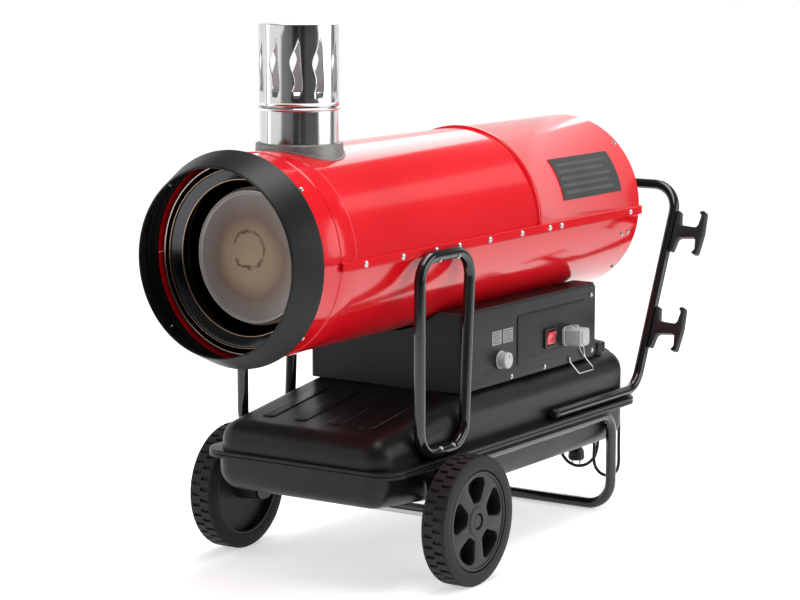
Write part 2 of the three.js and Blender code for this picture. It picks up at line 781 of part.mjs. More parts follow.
function controlHousing() {
  const wall = housingSheet;
  const half = housingHalfWidth;
  const outer = prismZ(rectangle(housingFrontX, -half, housingRearX, half, 10, 3), housingZ, housingTopZ);
  const inner = prismZ(rectangle(
    housingFrontX + wall, -half + wall, housingRearX - wall, half - wall, 8.5, 3), housingZ - 1, housingTopZ - wall);
  const barrel = onAxis(rod(housingFrontX - 1, housingRearX + 1, barrelRadius + jointRise + gap));
  const window = block(
    housingFrontX + windowMargin, -half - 1, housingZ + windowMargin,
    housingRearX - windowMargin, -half + 2 * wall, housingTopZ - windowMargin);
  const cordHole = turnedX(rod(housingRearX - 10, housingRearX + 1, 8), glandY, glandZ);
  return cut(outer, inner, barrel, window, cordHole);
}

const fieldX0 = housingFrontX + 205;
const fieldX1 = housingRearX - 46;

function controlPanel() {
  const plate = rectangle(housingFrontX + 3, housingZ + 3, housingRearX - 3, housingTopZ - 3, 8, 3);
  const field = rectangle(fieldX0, housingZ + 26, fieldX1, housingTopZ - 30, 8, 3);
  const body = joined(
    prismY(plate, panelFaceY, panelY),
    prismY(field, panelFaceY - fieldRise, panelFaceY + 0.5));
  const knobHole = turnedY(rod(-farOut, 0, 5), knobX, knobZ, 12);
  const hole = (x, z, width, height) => block(
    x - width / 2, -farOut, z - height / 2, x + width / 2, 0, z + height / 2);
  return cut(body, knobHole,
    hole(switchX, switchZ, bezelWidth - 5, bezelHeight - 5),
    hole(socketX, socketZ, socketWidth - 10, socketHeight - 10));
}

const fieldFaceY = panelFaceY - fieldRise;
const knobShaft = 3.5;

function thermostatKnob() {
  const back = panelFaceY - 0.8;
  const points = circle(knobX, knobZ, knobRadius, knobFlats);
  const collar = turnedY(rod(back - 3, back, knobRadius + 1.5), knobX, knobZ);
  const shaft = turnedY(rod(-housingHalfWidth + 12, back, knobShaft), knobX, knobZ, 12);
  return joined(prismY(points, back - knobDepth, back - 2), collar, shaft);
}

function controlBox() {
  const body = block(knobX - 50, -housingHalfWidth, housingZ + 16, knobX + 50, -housingHalfWidth + 60, knobZ + 45);
  const bore = turnedY(rod(-housingHalfWidth - 1, -housingHalfWidth + 16, knobShaft + nest), knobX, knobZ, 12);
  return cut(body, bore);
}

const ignitionTransformer = () => block(
  housingFrontX + 120, 20, housingZ, housingFrontX + 210, 100, housingZ + 62);

// The switch's frame, with a cup behind the panel that the rocker sits in.
function switchBezel() {
  const face = fieldFaceY - gap;
  const frame = (width, height, r) => rectangle(
    switchX - width / 2, switchZ - height / 2, switchX + width / 2, switchZ + height / 2, r, 2);
  const rim = prismY(frame(bezelWidth, bezelHeight, 3), face - 4, face);
  const cup = prismY(frame(bezelWidth - 6, bezelHeight - 6, 1), face - 1, face + 24);
  const well = prismY(frame(rockerWidth + 1.4, rockerHeight + 3.6, 0.5), face - 6, face + 14);
  return cut(joined(rim, cup), well);
}

const rockerY = fieldFaceY - gap;

function powerRocker() {
  const tilt = THREE.MathUtils.degToRad(rockerTilt);
  const half = rockerHeight / 2;
  const section = [[-7, half], [-4.2, 0], [-7, -half], [1, -half], [7, -half + 5], [7, half - 5], [1, half]];
  const points = section.map(([out, up]) => new THREE.Vector2(
    rockerY + out * Math.cos(tilt) - up * Math.sin(tilt),
    switchZ + out * Math.sin(tilt) + up * Math.cos(tilt)));
  return prismX(points, switchX - rockerWidth / 2, switchX + rockerWidth / 2);
}

const socketFaceY = fieldFaceY - gap - 6;

function socketBase() {
  const face = fieldFaceY - gap;
  const frame = (inset, r) => rectangle(
    socketX - socketWidth / 2 + inset, socketZ - socketHeight / 2 + inset,
    socketX + socketWidth / 2 - inset, socketZ + socketHeight / 2 - inset, r, 3);
  const body = joined(prismY(frame(0, 4), socketFaceY, face), prismY(frame(5.5, 3), face - 1, face + 20));
  return cut(body, turnedY(rod(-farOut, face + 12, 12.5), socketX, socketZ));
}

function socketPlug() {
  const face = socketFaceY - gap;
  const half = socketWidth / 2 - 3;
  const body = prismY(rectangle(
    socketX - half, socketZ - socketHeight / 2 + 2, socketX + half, socketZ + socketHeight / 2 - 2, 5, 3),
  face - plugDepth, face);
  const grip = prismY(rectangle(
    socketX - half + 5, socketZ - socketHeight / 2 + 6, socketX + half - 5, socketZ + socketHeight / 2 - 6, 3, 2),
  face - plugDepth - 3, face - plugDepth + 1);
  return joined(body, grip, turnedY(rod(face - 1, face + 12, 11.8), socketX, socketZ));
}

// A sprung wire clip that hooks under the tank's shoulder, with the thin doubled wire that it hangs on.
const clipY = panelFaceY - gap - 1.6;
const clipLow = -tankHalfWidth - 2.2;

function wireClip() {
  const low = housingZ - 22;
  const clip = tube(bent([
    [socketX + 10, clipY, housingZ + 14], [socketX + 14, clipY, housingZ + 2.5, 4],
    [socketX + 28, clipLow, low, 5], [socketX + 93, clipLow, low, 5],
    [socketX + 78, clipY, housingZ + 2.5, 4], [socketX + 72, clipY, housingZ + 13],
  ], 2), 1.5, 6);
  const wireY = fieldFaceY - gap - 1;
  const wire = tube(bent([
    [socketX + 42, wireY, socketZ - 13], [socketX + 52, wireY, socketZ - 36, 8],
    [socketX + 73, wireY, housingZ + 2, 1.6], [socketX + 63, wireY, socketZ - 11],
  ], 2), 0.9, 5);
  return joined(clip, wire);
}

// Frame --------------------------------------------------------------------------------------

const undercarriageTube = () => tube(bent([
  [railFrontX, -sideY, railZ], [legX, -sideY, railZ, legBend], [legX, -sideY, tubeRadius, footBend],
  [legX, sideY, tubeRadius, footBend], [legX, sideY, railZ, legBend], [railFrontX, sideY, railZ],
]), tubeCorner);

function axleBracket(side) {
  const top = railZ - tubeRadius - gap;
  const plate = outline([
    [axleX - 50, top, 0], [axleX - 20, wheelRadius - 20, 20],
    [axleX + 20, wheelRadius - 20, 20], [axleX + 50, top, 0],
  ], 4);
  const hole = circle(axleX, wheelRadius, axleRadius + nest, 16);
  const y0 = side > 0 ? bracketY : -bracketY - bracketThickness;
  return prismY(plate, y0, y0 + bracketThickness, [hole]);
}

const axleBeam = () => block(
  axleX - beamWidth / 2, -bracketY + gap, wheelRadius + axleRadius + beamSpace,
  axleX + beamWidth / 2, bracketY - gap, wheelRadius + axleRadius + beamSpace + beamThickness);

const axleEndY = wheelOuterY - 11;
const axleRod = () => turnedY(rod(-axleEndY, axleEndY, axleRadius), axleX, wheelRadius, 16);

// Each loop is one bent tube whose ends meet in the middle of its top.
function sideLoop(side) {
  const middle = (loopFrontX + loopRearTopX) / 2;
  return tube(bent([
    [middle - gap, side * sideY, loopTopZ], [loopFrontX, side * sideY, loopTopZ, loopBend],
    [loopFrontX, side * sideY, seatZ, loopBend], [loopRearBottomX, side * sideY, seatZ, loopBend],
    [loopRearTopX, side * sideY, loopTopZ, loopBend], [middle + gap, side * sideY, loopTopZ],
  ]), tubeCorner);
}

const pushHandle = () => tube(bent([
  [handleEndX, -sideY, seatZ], [handleBendX, -sideY, seatZ, handleBend],
  [handleTopX, -sideY, handleTopZ, handleBend], [handleTopX, sideY, handleTopZ, handleBend],
  [handleBendX, sideY, seatZ, handleBend], [handleEndX, sideY, seatZ],
]), tubeCorner);

const handleCap = (side) => turnedX([
  [handleEndX - 12, 0], [handleEndX - 12, 8], [handleEndX - 9, tubeRadius],
  [handleEndX - gap, tubeRadius], [handleEndX - gap, 0],
], side * sideY, seatZ, 16);

// A T-shaped hook for the wound-up lead, on the outside of the handle's near upright.
function cordHook(height) {
  const half = hookLength / 2;
  const foot = tubeRadius + gap;
  const profile = outline([
    [-half, foot, 0], [half, foot, 0], [half, foot + 8, 4], [14, foot + 14, 10],
    [11, hookReach - 16, 8], [half - 8, hookReach - 12, 6], [half + 2, hookReach - 20, 3], [half + 4, hookReach - 4, 6],
    [0, hookReach, 40], [-half - 4, hookReach - 4, 6], [-half - 2, hookReach - 20, 3],
    [-half + 8, hookReach - 12, 6], [-11, hookReach - 16, 8], [-14, foot + 14, 10], [-half, foot + 8, 4],
  ], 2);
  const lean = THREE.MathUtils.degToRad(handleLean);
  const up = new THREE.Vector3(Math.sin(lean), 0, Math.cos(lean));
  const out = new THREE.Vector3(0, -1, 0);
  const across = up.clone().cross(out);
  const place = new THREE.Matrix4().makeBasis(up, out, across);
  place.setPosition(handleBendX + (height - seatZ) * leanSlope, -sideY, height);
  return solid(prism(profile, [], hookThickness).translate(0, 0, -hookThickness / 2).applyMatrix4(place));
}

// Wheels -------------------------------------------------------------------------------------

// Wheel pieces are built with their outer face towards -Y and mirrored for the far side.
const mirrored = (body) => body.mirror([0, 1, 0]);

// One half of the tyre, a toothed ring whose teeth are the tread's blocks.
function lugRow(y0, y1, turn) {
  const base = wheelRadius - lugHeight;
  const points = Array.from({ length: lugCount }, (_, i) => [
    [0.06, base], [0.16, wheelRadius], [0.66, wheelRadius], [0.76, base],
  ].map(([share, r]) => {
    const angle = ((i + share + turn) / lugCount) * 2 * Math.PI;
    return new THREE.Vector2(axleX + r * Math.cos(angle), wheelRadius + r * Math.sin(angle));
  })).flat();
  return prismY(points, y0, y1, [circle(axleX, wheelRadius, rimRadius + gap, middling)]);
}

function wheelTyre() {
  const middle = -wheelOuterY + wheelWidth / 2;
  return joined(lugRow(-wheelOuterY, middle, 0), lugRow(middle, -wheelInnerY, 0.5));
}

function wheelRim() {
  const face = -wheelOuterY + 2;
  const boss = -bracketY - bracketThickness - gap;
  const body = turnedY([
    [face, axleRadius + nest], [face, rimRadius - 3], [face + 3, rimRadius], [-wheelInnerY, rimRadius],
    [-wheelInnerY, 26], [boss, 22], [boss, axleRadius + nest],
  ], axleX, wheelRadius, middling);
  const step = (2 * Math.PI) / pocketCount;
  const at = (r, angle) => [axleX + r * Math.cos(angle), wheelRadius + r * Math.sin(angle)];
  const pockets = Array.from({ length: pocketCount }, (_, i) => {
    const middle = Math.PI / 2 + (i + 0.5) * step;
    const corners = [[38, -0.3, 5], [84, -0.42, 9], [88, 0, 0], [84, 0.42, 9], [38, 0.3, 5]];
    return prismY(outline(corners.map(([r, turn, rounding]) => [...at(r, middle + turn), rounding]), 1),
      face - 1, face + pocketDepth);
  });
  const recess = turnedY(rod(face - 1, face + 8, 15.5), axleX, wheelRadius);
  return cut(body, ...pockets, recess);
}

function hubCap() {
  const face = -wheelOuterY + 2;
  return turnedY([
    [face + 1.5, 0], [face + 1.5, 11], [face + 3.5, 15], [face + 8 - gap, 15], [face + 8 - gap, 0],
  ], axleX, wheelRadius);
}

// Mains lead ---------------------------------------------------------------------------------

const glandNose = housingRearX + 26;
const cableGland = () => turnedX([
  [housingRearX - 6, cordRadius + gap], [housingRearX - 6, 7.4], [housingRearX + gap, 7.4], [housingRearX + gap, 11],
  [housingRearX + 9, 11], [housingRearX + 9, 8], [glandNose, 5.4], [glandNose, cordRadius + gap],
], glandY, glandZ, 12);

// The coil hangs in an upright plane behind the tank: one unbroken tube in two layers, spiralling
// in, climbing a layer in the half turn where the spiral reverses, and out again. Both of its ends
// run straight for one diameter.
const layerStep = 2 * cordRadius + 0.9;
const coilFrontX = coilX - layerStep / 2;
const coilRearX = coilX + layerStep / 2;
const nearSideY = coilY - coilOuter;
const farSideY = coilY + coilOuter;

function coilStops() {
  const perTurn = 18;
  const steps = Math.round(2 * coilTurns * perTurn);
  const loops = Array.from({ length: steps + 1 }, (_, i) => {
    const turns = i / perTurn;
    const radius = coilInner + (coilOuter - coilInner) * Math.abs(turns - coilTurns) / coilTurns;
    const climb = THREE.MathUtils.clamp((turns - coilTurns + 0.25) / 0.5, 0, 1);
    const angle = Math.PI - turns * 2 * Math.PI;
    return new THREE.Vector3(
      coilFrontX + climb * layerStep, coilY + radius * Math.cos(angle), coilZ + radius * Math.sin(angle));
  });
  const below = new THREE.Vector3(0, 0, -2 * cordRadius);
  return [loops[0].clone().add(below), ...loops, loops.at(-1).clone().add(below)];
}

// The least gap between stretches of a wound tube that aren't next to each other.
function leastGap(stops, radius) {
  let least = Infinity;
  const apart = 8;
  for (let i = 0; i < stops.length; i += 1) {
    for (let j = i + apart; j < stops.length; j += 1) {
      least = Math.min(least, stops[i].distanceTo(stops[j]) - 2 * radius);
    }
  }
  return least;
}

const smoothed = (points, steps) => new THREE.CatmullRomCurve3(
  points.map(([x, y, z]) => new THREE.Vector3(x, y, z)), false, 'centripetal').getSpacedPoints(steps);

// From the gland the lead crosses the tank's top, hangs down behind it and turns up into the coil.
const coilFootZ = coilZ - 2 * cordRadius - gap;
const dropStops = () => smoothed([
  [glandNose + gap, glandY, glandZ], [glandNose + 16, glandY, 355.8], [1066, -65, 352.5], [1081, -76, 347.8],
  [1094, -91, 344], [1106, -108, 341], [1117, -125, 336.5], [1128, -141, 328.5], [1137.5, -153, 315],
  [1144, -160, 297], [1147, -163, 276], [1147.5, -164, 240], [1147, -164.5, 200], [1147, -165, 160],
  [1147, -165, 120], [1147, -165, 78], [1147, -161, 63], [1147, -150, 52], [1147, -135, 48], [1147, -120, 52],
  [1146.5, -109, 63], [coilFrontX, nearSideY, 78], [coilFrontX, nearSideY, 110],
  [coilFrontX, nearSideY, coilFootZ],
], 34);

// From the coil's other end it makes one low loop and comes back to the plug from above.
const plugTopZ = plugZ + 40;
const tailStops = () => smoothed([
  [coilRearX, farSideY, coilFootZ], [coilRearX, farSideY, 130], [1153.5, -15, 116], [1153.5, -15, 102.5],
  [1153.5, -20.8, 81], [1153.5, -36.8, 65], [1154.5, -58.5, 59], [1157.5, -80.2, 65], [1161, -96.2, 81],
  [1164.5, -102, 102.5], [1166.5, -102, 113], [1168.5, -102, 124.5], [1170.3, -98, 139],
  [1172, -87.5, 149.6], [1173.5, -73, 153.5], [plugX - 0.5, -58.5, 149.6], [plugX, -48, 139],
  [plugX, plugY, 124.5], [plugX, plugY, 116], [plugX, plugY, plugTopZ + gap],
], 24);

function cordTie() {
  const low = coilZ + coilInner - cordRadius - 0.5;
  const strap = 1.6;
  const x0 = flangeRearX - 6.5 - strap / 2;
  const x1 = coilRearX + cordRadius + 0.5;
  const top = flangeTopZ + 0.5;
  return prismY(
    rectangle(x0, low - strap, x1 + strap, top + strap, 2.4, 2), coilY - 4, coilY + 4,
    [rectangle(x0 + strap, low, x1, top, 0.8, 1)]);
}

function mainsPlug() {
  const z = plugZ;
  const body = turnedZ([
    [z, 0], [z, 16], [z + 5, 18.5], [z + 20, 17], [z + 34, 8.5], [plugTopZ, 6], [plugTopZ, 0],
  ], plugX, plugY);
  const pins = [-9.5, 9.5].map((dy) => turnedZ(rod(z - 12, z + 1, 2.4), plugX, plugY + dy, 10));
  return joined(body, ...pins);
}

console.log('least gap of the coil to itself', leastGap(coilStops(), cordRadius).toFixed(2), 'mm');

// Assembly -----------------------------------------------------------------------------------

const heater = new THREE.Group();
const add = (name, body, material) => {
  const mesh = new THREE.Mesh(toGeometry(body), material);
  mesh.name = name;
  heater.add(mesh);
};

add('barrel_lower', barrelLower(), redPaint());
add('barrel_upper_front', barrelUpperFront(), redPaint());
add('barrel_upper_rear', barrelUpperRear(), redPaint());
add('front_ring', frontRing(), satinBlack());
add('heat_shield', heatShield(), stainless());
add('heat_exchanger', heatExchanger(), heatSteel());
add('combustion_chamber', combustionChamber(), heatSteel());
add('chamber_end_disc', chamberEndDisc(), heatSteel());
add('rear_grille', rearGrille(), blackPaint());

add('flue_collar', flueCollar(), galvanised());
add('flue_pipe', fluePipe(), stainless());
add('flue_cap', flueCap(), stainless());

add('burner_tube', burnerTube(), stainless());
add('burner_nozzle', burnerNozzle(), brass());
add('ignition_electrodes', ignitionElectrodes(), ceramic());
add('burner_blower', burnerBlower(), galvanised());
add('fuel_pump', fuelPump(), galvanised());
add('fuel_filter', fuelFilter(), galvanised());
add('fuel_line', fuelLine(), brass());
add('fan_motor', fanMotor(), galvanised());
add('motor_bracket', motorBracket(), galvanised());
add('fan', fan(), galvanised());

add('tank_upper', tankUpper(), blackPlastic());
add('tank_lower', tankLower(), blackPlastic());
add('fuel_cap', fuelCap(), blackPlastic());
add('drain_plug', drainPlug(), galvanised());

add('control_housing', controlHousing(), satinBlack());
add('control_panel', controlPanel(), satinBlack());
add('thermostat_knob', thermostatKnob(), greyPlastic());
add('control_box', controlBox(), greyPlastic());
add('ignition_transformer', ignitionTransformer(), blackPlastic());
add('switch_bezel', switchBezel(), blackPlastic());
add('power_rocker', powerRocker(), redPlastic());
add('socket_base', socketBase(), greyPlastic());
add('socket_plug', socketPlug(), greyPlastic());
add('wire_clip', wireClip(), galvanised());

add('undercarriage_tube', undercarriageTube(), blackPaint());
add('axle_bracket_near', axleBracket(-1), blackPaint());
add('axle_bracket_far', axleBracket(1), blackPaint());
add('axle_beam', axleBeam(), blackPaint());
add('axle_rod', axleRod(), galvanised());
add('side_loop_near', sideLoop(-1), blackPaint());
add('side_loop_far', sideLoop(1), blackPaint());
add('push_handle', pushHandle(), blackPaint());
add('handle_cap_near', handleCap(-1), blackPlastic());
add('handle_cap_far', handleCap(1), blackPlastic());
add('cord_hook_upper', cordHook(hookHeights.upper), blackPlastic());
add('cord_hook_lower', cordHook(hookHeights.lower), blackPlastic());

add('wheel_tyre_near', wheelTyre(), rubber());
add('wheel_rim_near', wheelRim(), blackPlastic());
add('hub_cap_near', hubCap(), blackPlastic());
add('wheel_tyre_far', mirrored(wheelTyre()), rubber());
add('wheel_rim_far', mirrored(wheelRim()), blackPlastic());
add('hub_cap_far', mirrored(hubCap()), blackPlastic());

add('cable_gland', cableGland(), blackPlastic());
add('cord_drop', tube(dropStops(), cordRadius, 8), rubber());
add('cord_coil', tube(coilStops(), cordRadius, 6), rubber());
add('cord_tie', cordTie(), blackPlastic());
add('cord_tail', tube(tailStops(), cordRadius, 8), rubber());
add('mains_plug', mainsPlug(), blackPlastic());

const frontX = -ringDepth - ringLip;
const rearX = handleTopX + tubeRadius;
heater.position.x = -(frontX + rearX) / 2;

export default heater;
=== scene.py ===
# %% [markdown]
# # A forced air heater on wheels
# A red barrel stands on a black fuel tank in a tube frame. Air is blown in at the rear, past the
# burner and the combustion chamber, and leaves warm at the dark ring in front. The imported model
# gives every piece its size and place. This script only dresses it: it models the visible pieces
# again as smooth forms on the same sizes, gives each finish its own nodes, and sets up a plain
# studio. All sizes below are millimetres, and `at` turns them into the frame's metres.

# %% The frame and the units
import bmesh
import bpy
import math
from mathutils import Matrix, Vector


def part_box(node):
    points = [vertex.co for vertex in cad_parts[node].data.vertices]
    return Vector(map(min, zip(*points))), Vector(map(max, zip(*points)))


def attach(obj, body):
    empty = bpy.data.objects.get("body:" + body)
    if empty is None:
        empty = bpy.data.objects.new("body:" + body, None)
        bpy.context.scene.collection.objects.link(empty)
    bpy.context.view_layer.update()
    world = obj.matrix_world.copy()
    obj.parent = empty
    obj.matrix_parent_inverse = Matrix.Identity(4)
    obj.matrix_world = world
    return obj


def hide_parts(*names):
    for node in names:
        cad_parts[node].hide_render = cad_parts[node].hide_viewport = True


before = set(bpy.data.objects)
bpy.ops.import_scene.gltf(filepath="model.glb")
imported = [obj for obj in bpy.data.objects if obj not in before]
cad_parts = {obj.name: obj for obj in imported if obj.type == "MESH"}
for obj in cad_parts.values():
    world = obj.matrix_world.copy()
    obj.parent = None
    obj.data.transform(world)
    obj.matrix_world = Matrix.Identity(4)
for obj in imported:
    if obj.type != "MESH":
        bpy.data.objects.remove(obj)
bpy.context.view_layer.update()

MM = 0.001
GAP = 0.3                                   # between faces that touch
barrel_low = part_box("barrel_lower")[0]
START_X = barrel_low.x - GAP * MM           # the wide rear edge of the outlet ring


def at(x, y, z):
    """A place on the heater: x from the outlet ring's rear edge, y from the middle, z from the floor."""
    return Vector((START_X + x * MM, y * MM, z * MM))


print("outlet ring's rear edge at", round(START_X, 5), "m")

# %% [markdown]
# ## Camera
# The camera stands to the left of the outlet, far away with a long lens, and looks slightly down.
# Its place was found from the wheels' ellipses, the barrel's circles and the frame's parallel tubes.

# %% Camera
def shown(name, data):
    """An object with this data, put into the scene."""
    made = bpy.data.objects.new(name, data)
    bpy.context.scene.collection.objects.link(made)
    return made


camera_data = bpy.data.cameras.new("camera")
camera_data.sensor_width = 36.0
camera_data.lens = 112.594
camera = shown("camera", camera_data)
camera.location = (-4.19179, -2.71881, 1.23582)
camera.rotation_euler = (math.radians(81.4736), 0.0, math.radians(-56.37503))
bpy.context.scene.camera = camera
bpy.context.scene.view_settings.view_transform = "Standard"
print("camera", round(camera.location.length, 2), "m away with a lens of", round(camera_data.lens, 1), "mm")

# %% [markdown]
# ## Shader maths in Python
# A finish is easier to read as an expression than as a list of links. `Wire` holds one output of a
# node. Adding or multiplying wires and numbers adds the Math nodes, and `node` makes any other node.

# %% A wire between shader nodes
class Wire:
    def __init__(self, tree, socket=None):
        self.tree = tree
        self.socket = socket

    def node(self, kind, settings=None, inputs=None, output=0):
        """Adds a node, sets it up, feeds its sockets and gives one of its outputs, if it has any."""
        made = self.tree.nodes.new(kind)
        for key, value in (settings or {}).items():
            if key == "stops":
                ramp = made.color_ramp
                while len(ramp.elements) < len(value):
                    ramp.elements.new(1.0)
                for element, (place, colour) in zip(ramp.elements, value):
                    element.position = place
                    element.color = (*colour, 1.0)
            else:
                setattr(made, key, value)
        for key, value in (inputs or {}).items():
            if isinstance(value, Wire):
                self.tree.links.new(value.socket, made.inputs[key])
            else:
                made.inputs[key].default_value = value
        return None if output is None else Wire(self.tree, made.outputs[output])

    def _math(self, operation, first, second):
        return self.node("ShaderNodeMath", {"operation": operation}, {0: first, 1: second})

    def __add__(self, other):
        return self._math("ADD", self, other)

    def __radd__(self, other):
        return self._math("ADD", other, self)

    def __sub__(self, other):
        return self._math("SUBTRACT", self, other)

    def __rsub__(self, other):
        return self._math("SUBTRACT", other, self)

    def __mul__(self, other):
        return self._math("MULTIPLY", self, other)

    def __rmul__(self, other):
        return self._math("MULTIPLY", other, self)

    def __truediv__(self, other):
        return self._math("DIVIDE", self, other)

    def blend(self, low, high):
        """This wire as a share: colour `low` where it is 0 and `high` where it is 1."""
        settings = {"data_type": "RGBA", "clamp_factor": True}
        return self.node("ShaderNodeMix", settings, {0: self, 6: low, 7: high}, 2)

    def ramp(self, low, high):
        """0 below `low`, 1 above `high`, and a smooth rise between."""
        settings = {"interpolation_type": "SMOOTHSTEP"}
        return self.node("ShaderNodeMapRange", settings, {"Value": self, "From Min": low, "From Max": high})


def place_of(root):
    """The point on the piece, in metres, which rides with it."""
    return root.node("ShaderNodeTexCoord", output="Object")


def noise(root, where, scale, detail=2.0, rough=0.5):
    return root.node("ShaderNodeTexNoise", {}, {
        "Vector": where, "Scale": scale, "Detail": detail, "Roughness": rough}, "Fac")


def stretched(root, where, scale):
    return root.node("ShaderNodeVectorMath", {"operation": "MULTIPLY"}, {0: where, 1: scale})


def bumped(root, height, distance, strength=1.0):
    return root.node("ShaderNodeBump", {}, {
        "Height": height, "Distance": distance, "Strength": strength}, "Normal")


def rgb(red, green, blue):
    return (red, green, blue, 1.0)


# %% [markdown]
# ## Finishes
# Every finish starts from one Principled shader. Values that are the same all over are set on its
# sockets. Only colour, roughness, metal and the normal follow a pattern, because those can be
# carried over to other programs.


def finish(name, recipe, slot=None, **constants):
    """A material: `recipe` gets the root wire and the place, and gives what varies, by socket."""
    material = bpy.data.materials.new(name)
    material.use_nodes = True
    tree = material.node_tree
    shader = tree.nodes["Principled BSDF"]
    for key, value in constants.items():
        shader.inputs[key.replace("_", " ")].default_value = value
    root = Wire(tree)
    for key, wire in recipe(root, place_of(root)).items():
        tree.links.new(wire.socket, shader.inputs[key])
    return material


# %% [markdown]
# ### Paints
# The barrel has a glossy red enamel. A thick enamel isn't quite flat: it has a faint orange peel,
# which breaks the edge of each highlight. The tubes have the same paint in black. The control
# housing and the outlet ring have a fine-textured powder coat, which scatters light much wider.

# %% Paints
def enamel(deep, light):
    def recipe(root, where):
        cloud = noise(root, where, 3.0, 3.0)
        peel = noise(root, where, 260.0, 2.0)
        wide = noise(root, where, 40.0, 2.0)
        return {
            "Base Color": cloud.ramp(0.35, 0.65).blend(deep, light),
            "Roughness": 0.1 + wide * 0.06,
            "Normal": bumped(root, peel + wide * 0.8, 0.00006, 0.5),
        }
    return recipe


def powder(deep, light, grain, roughness):
    def recipe(root, where):
        cloud = noise(root, where, 6.0, 4.0)
        speck = noise(root, where, grain, 3.0, 0.6)
        return {
            "Base Color": cloud.ramp(0.3, 0.7).blend(deep, light),
            "Roughness": roughness + speck * 0.12,
            "Normal": bumped(root, speck, 0.0002, 0.35),
        }
    return recipe


red_paint = finish("red_paint", enamel(rgb(0.60, 0.0045, 0.010), rgb(0.66, 0.0065, 0.014)),
                   Specular_IOR_Level=0.30, Coat_Weight=0.2, Coat_Roughness=0.04)
gloss_black = finish("gloss_black", enamel(rgb(0.0045, 0.0048, 0.005), rgb(0.0065, 0.007, 0.007)),
                     Coat_Weight=0.25, Coat_Roughness=0.06)
satin_grey = finish(
    "satin_grey", powder(rgb(0.0062, 0.0072, 0.0078), rgb(0.0088, 0.010, 0.0106), 900.0, 0.36),
    Specular_IOR_Level=0.24)
satin_black = finish(
    "satin_black", powder(rgb(0.0085, 0.0086, 0.0090), rgb(0.0112, 0.0114, 0.0118), 800.0, 0.36),
    Specular_IOR_Level=0.26)

# %% [markdown]
# ### Metals
# Rolled stainless steel carries fine lines along the direction it was rolled in. Noise that is
# stretched a hundredfold gives them. The combustion chamber is heated steel: its pressed end has
# turned tan in the middle and grey towards the rim, so its colour follows the distance from the axis.

# %% Metals
def rolled_steel(lines, colour, roughness):
    def recipe(root, where):
        line = noise(root, stretched(root, where, lines), 30.0, 3.0)
        cloud = noise(root, where, 9.0, 3.0)
        return {
            "Base Color": cloud.blend(colour, tuple(0.86 * c for c in colour[:3]) + (1.0,)),
            "Roughness": roughness + line * 0.07 + cloud * 0.04,
            "Normal": bumped(root, line + cloud * 0.6, 0.00008, 0.35),
        }
    return recipe


AXIS_Z = 639.5                              # height of the barrel's axis


def from_axis(root, where, lift=0.0):
    """Distance from the barrel's axis, or from a line above it, in metres."""
    across = stretched(root, where, (0.0, 1.0, 1.0))
    centred = root.node("ShaderNodeVectorMath", {"operation": "SUBTRACT"}, {
        0: across, 1: (0.0, 0.0, (AXIS_Z + lift) * MM)})
    return root.node("ShaderNodeVectorMath", {"operation": "LENGTH"}, {0: centred}, "Value")


DISC_RADIUS = 0.121                         # of the chamber's end, in metres
SOOT_HEIGHT = 14.0                          # of the soot ring's centre above the axis, in millimetres


def heated_disc(root, where):
    radius = from_axis(root, where) + (noise(root, where, 16.0, 4.0) - 0.5) * 0.03
    bands = root.node("ShaderNodeValToRGB", {"stops": [
        (0.0, (0.335, 0.24, 0.16)), (0.42, (0.30, 0.21, 0.14)), (0.62, (0.205, 0.135, 0.10)),
        (0.76, (0.25, 0.20, 0.18)), (0.92, (0.33, 0.29, 0.27)), (1.0, (0.37, 0.34, 0.32))]}, {
        "Fac": radius / DISC_RADIUS}, "Color")
    rough_ring = from_axis(root, where, SOOT_HEIGHT) + (noise(root, where, 55.0, 5.0) - 0.5) * 0.022
    on_ring = rough_ring.ramp(0.0305, 0.0340) * (1.0 - rough_ring.ramp(0.0345, 0.0390))
    soot = on_ring * noise(root, where, 30.0, 4.0).ramp(0.42, 0.60)
    fleck = noise(root, where, 150.0, 3.0).ramp(0.66, 0.72) * noise(root, where, 24.0).ramp(0.55, 0.65)
    return {
        "Base Color": (soot * 0.9 + fleck * 0.6).blend(bands, rgb(0.07, 0.035, 0.02)),
        "Roughness": 0.44 + noise(root, where, 45.0, 3.0) * 0.14,
        "Normal": bumped(root, noise(root, where, 70.0, 4.0), 0.0003, 0.35),
    }


def heated_drum(root, where):
    cloud = noise(root, where, 14.0, 4.0)
    return {
        "Base Color": cloud.ramp(0.3, 0.7).blend(rgb(0.20, 0.16, 0.14), rgb(0.33, 0.26, 0.21)),
        "Roughness": 0.4 + cloud * 0.2,
        "Normal": bumped(root, noise(root, where, 300.0, 2.0), 0.0001, 0.3),
    }


def spangled_zinc(root, where):
    cells = root.node("ShaderNodeTexVoronoi", {"feature": "F1"}, {"Vector": where, "Scale": 140.0}, "Color")
    tone = root.node("ShaderNodeSeparateColor", {}, {"Color": cells}, "Red")
    return {
        "Base Color": tone.blend(rgb(0.21, 0.21, 0.20), rgb(0.27, 0.27, 0.255)),
        "Roughness": 0.42 + tone * 0.14,
        "Normal": bumped(root, noise(root, where, 500.0), 0.00008, 0.3),
    }


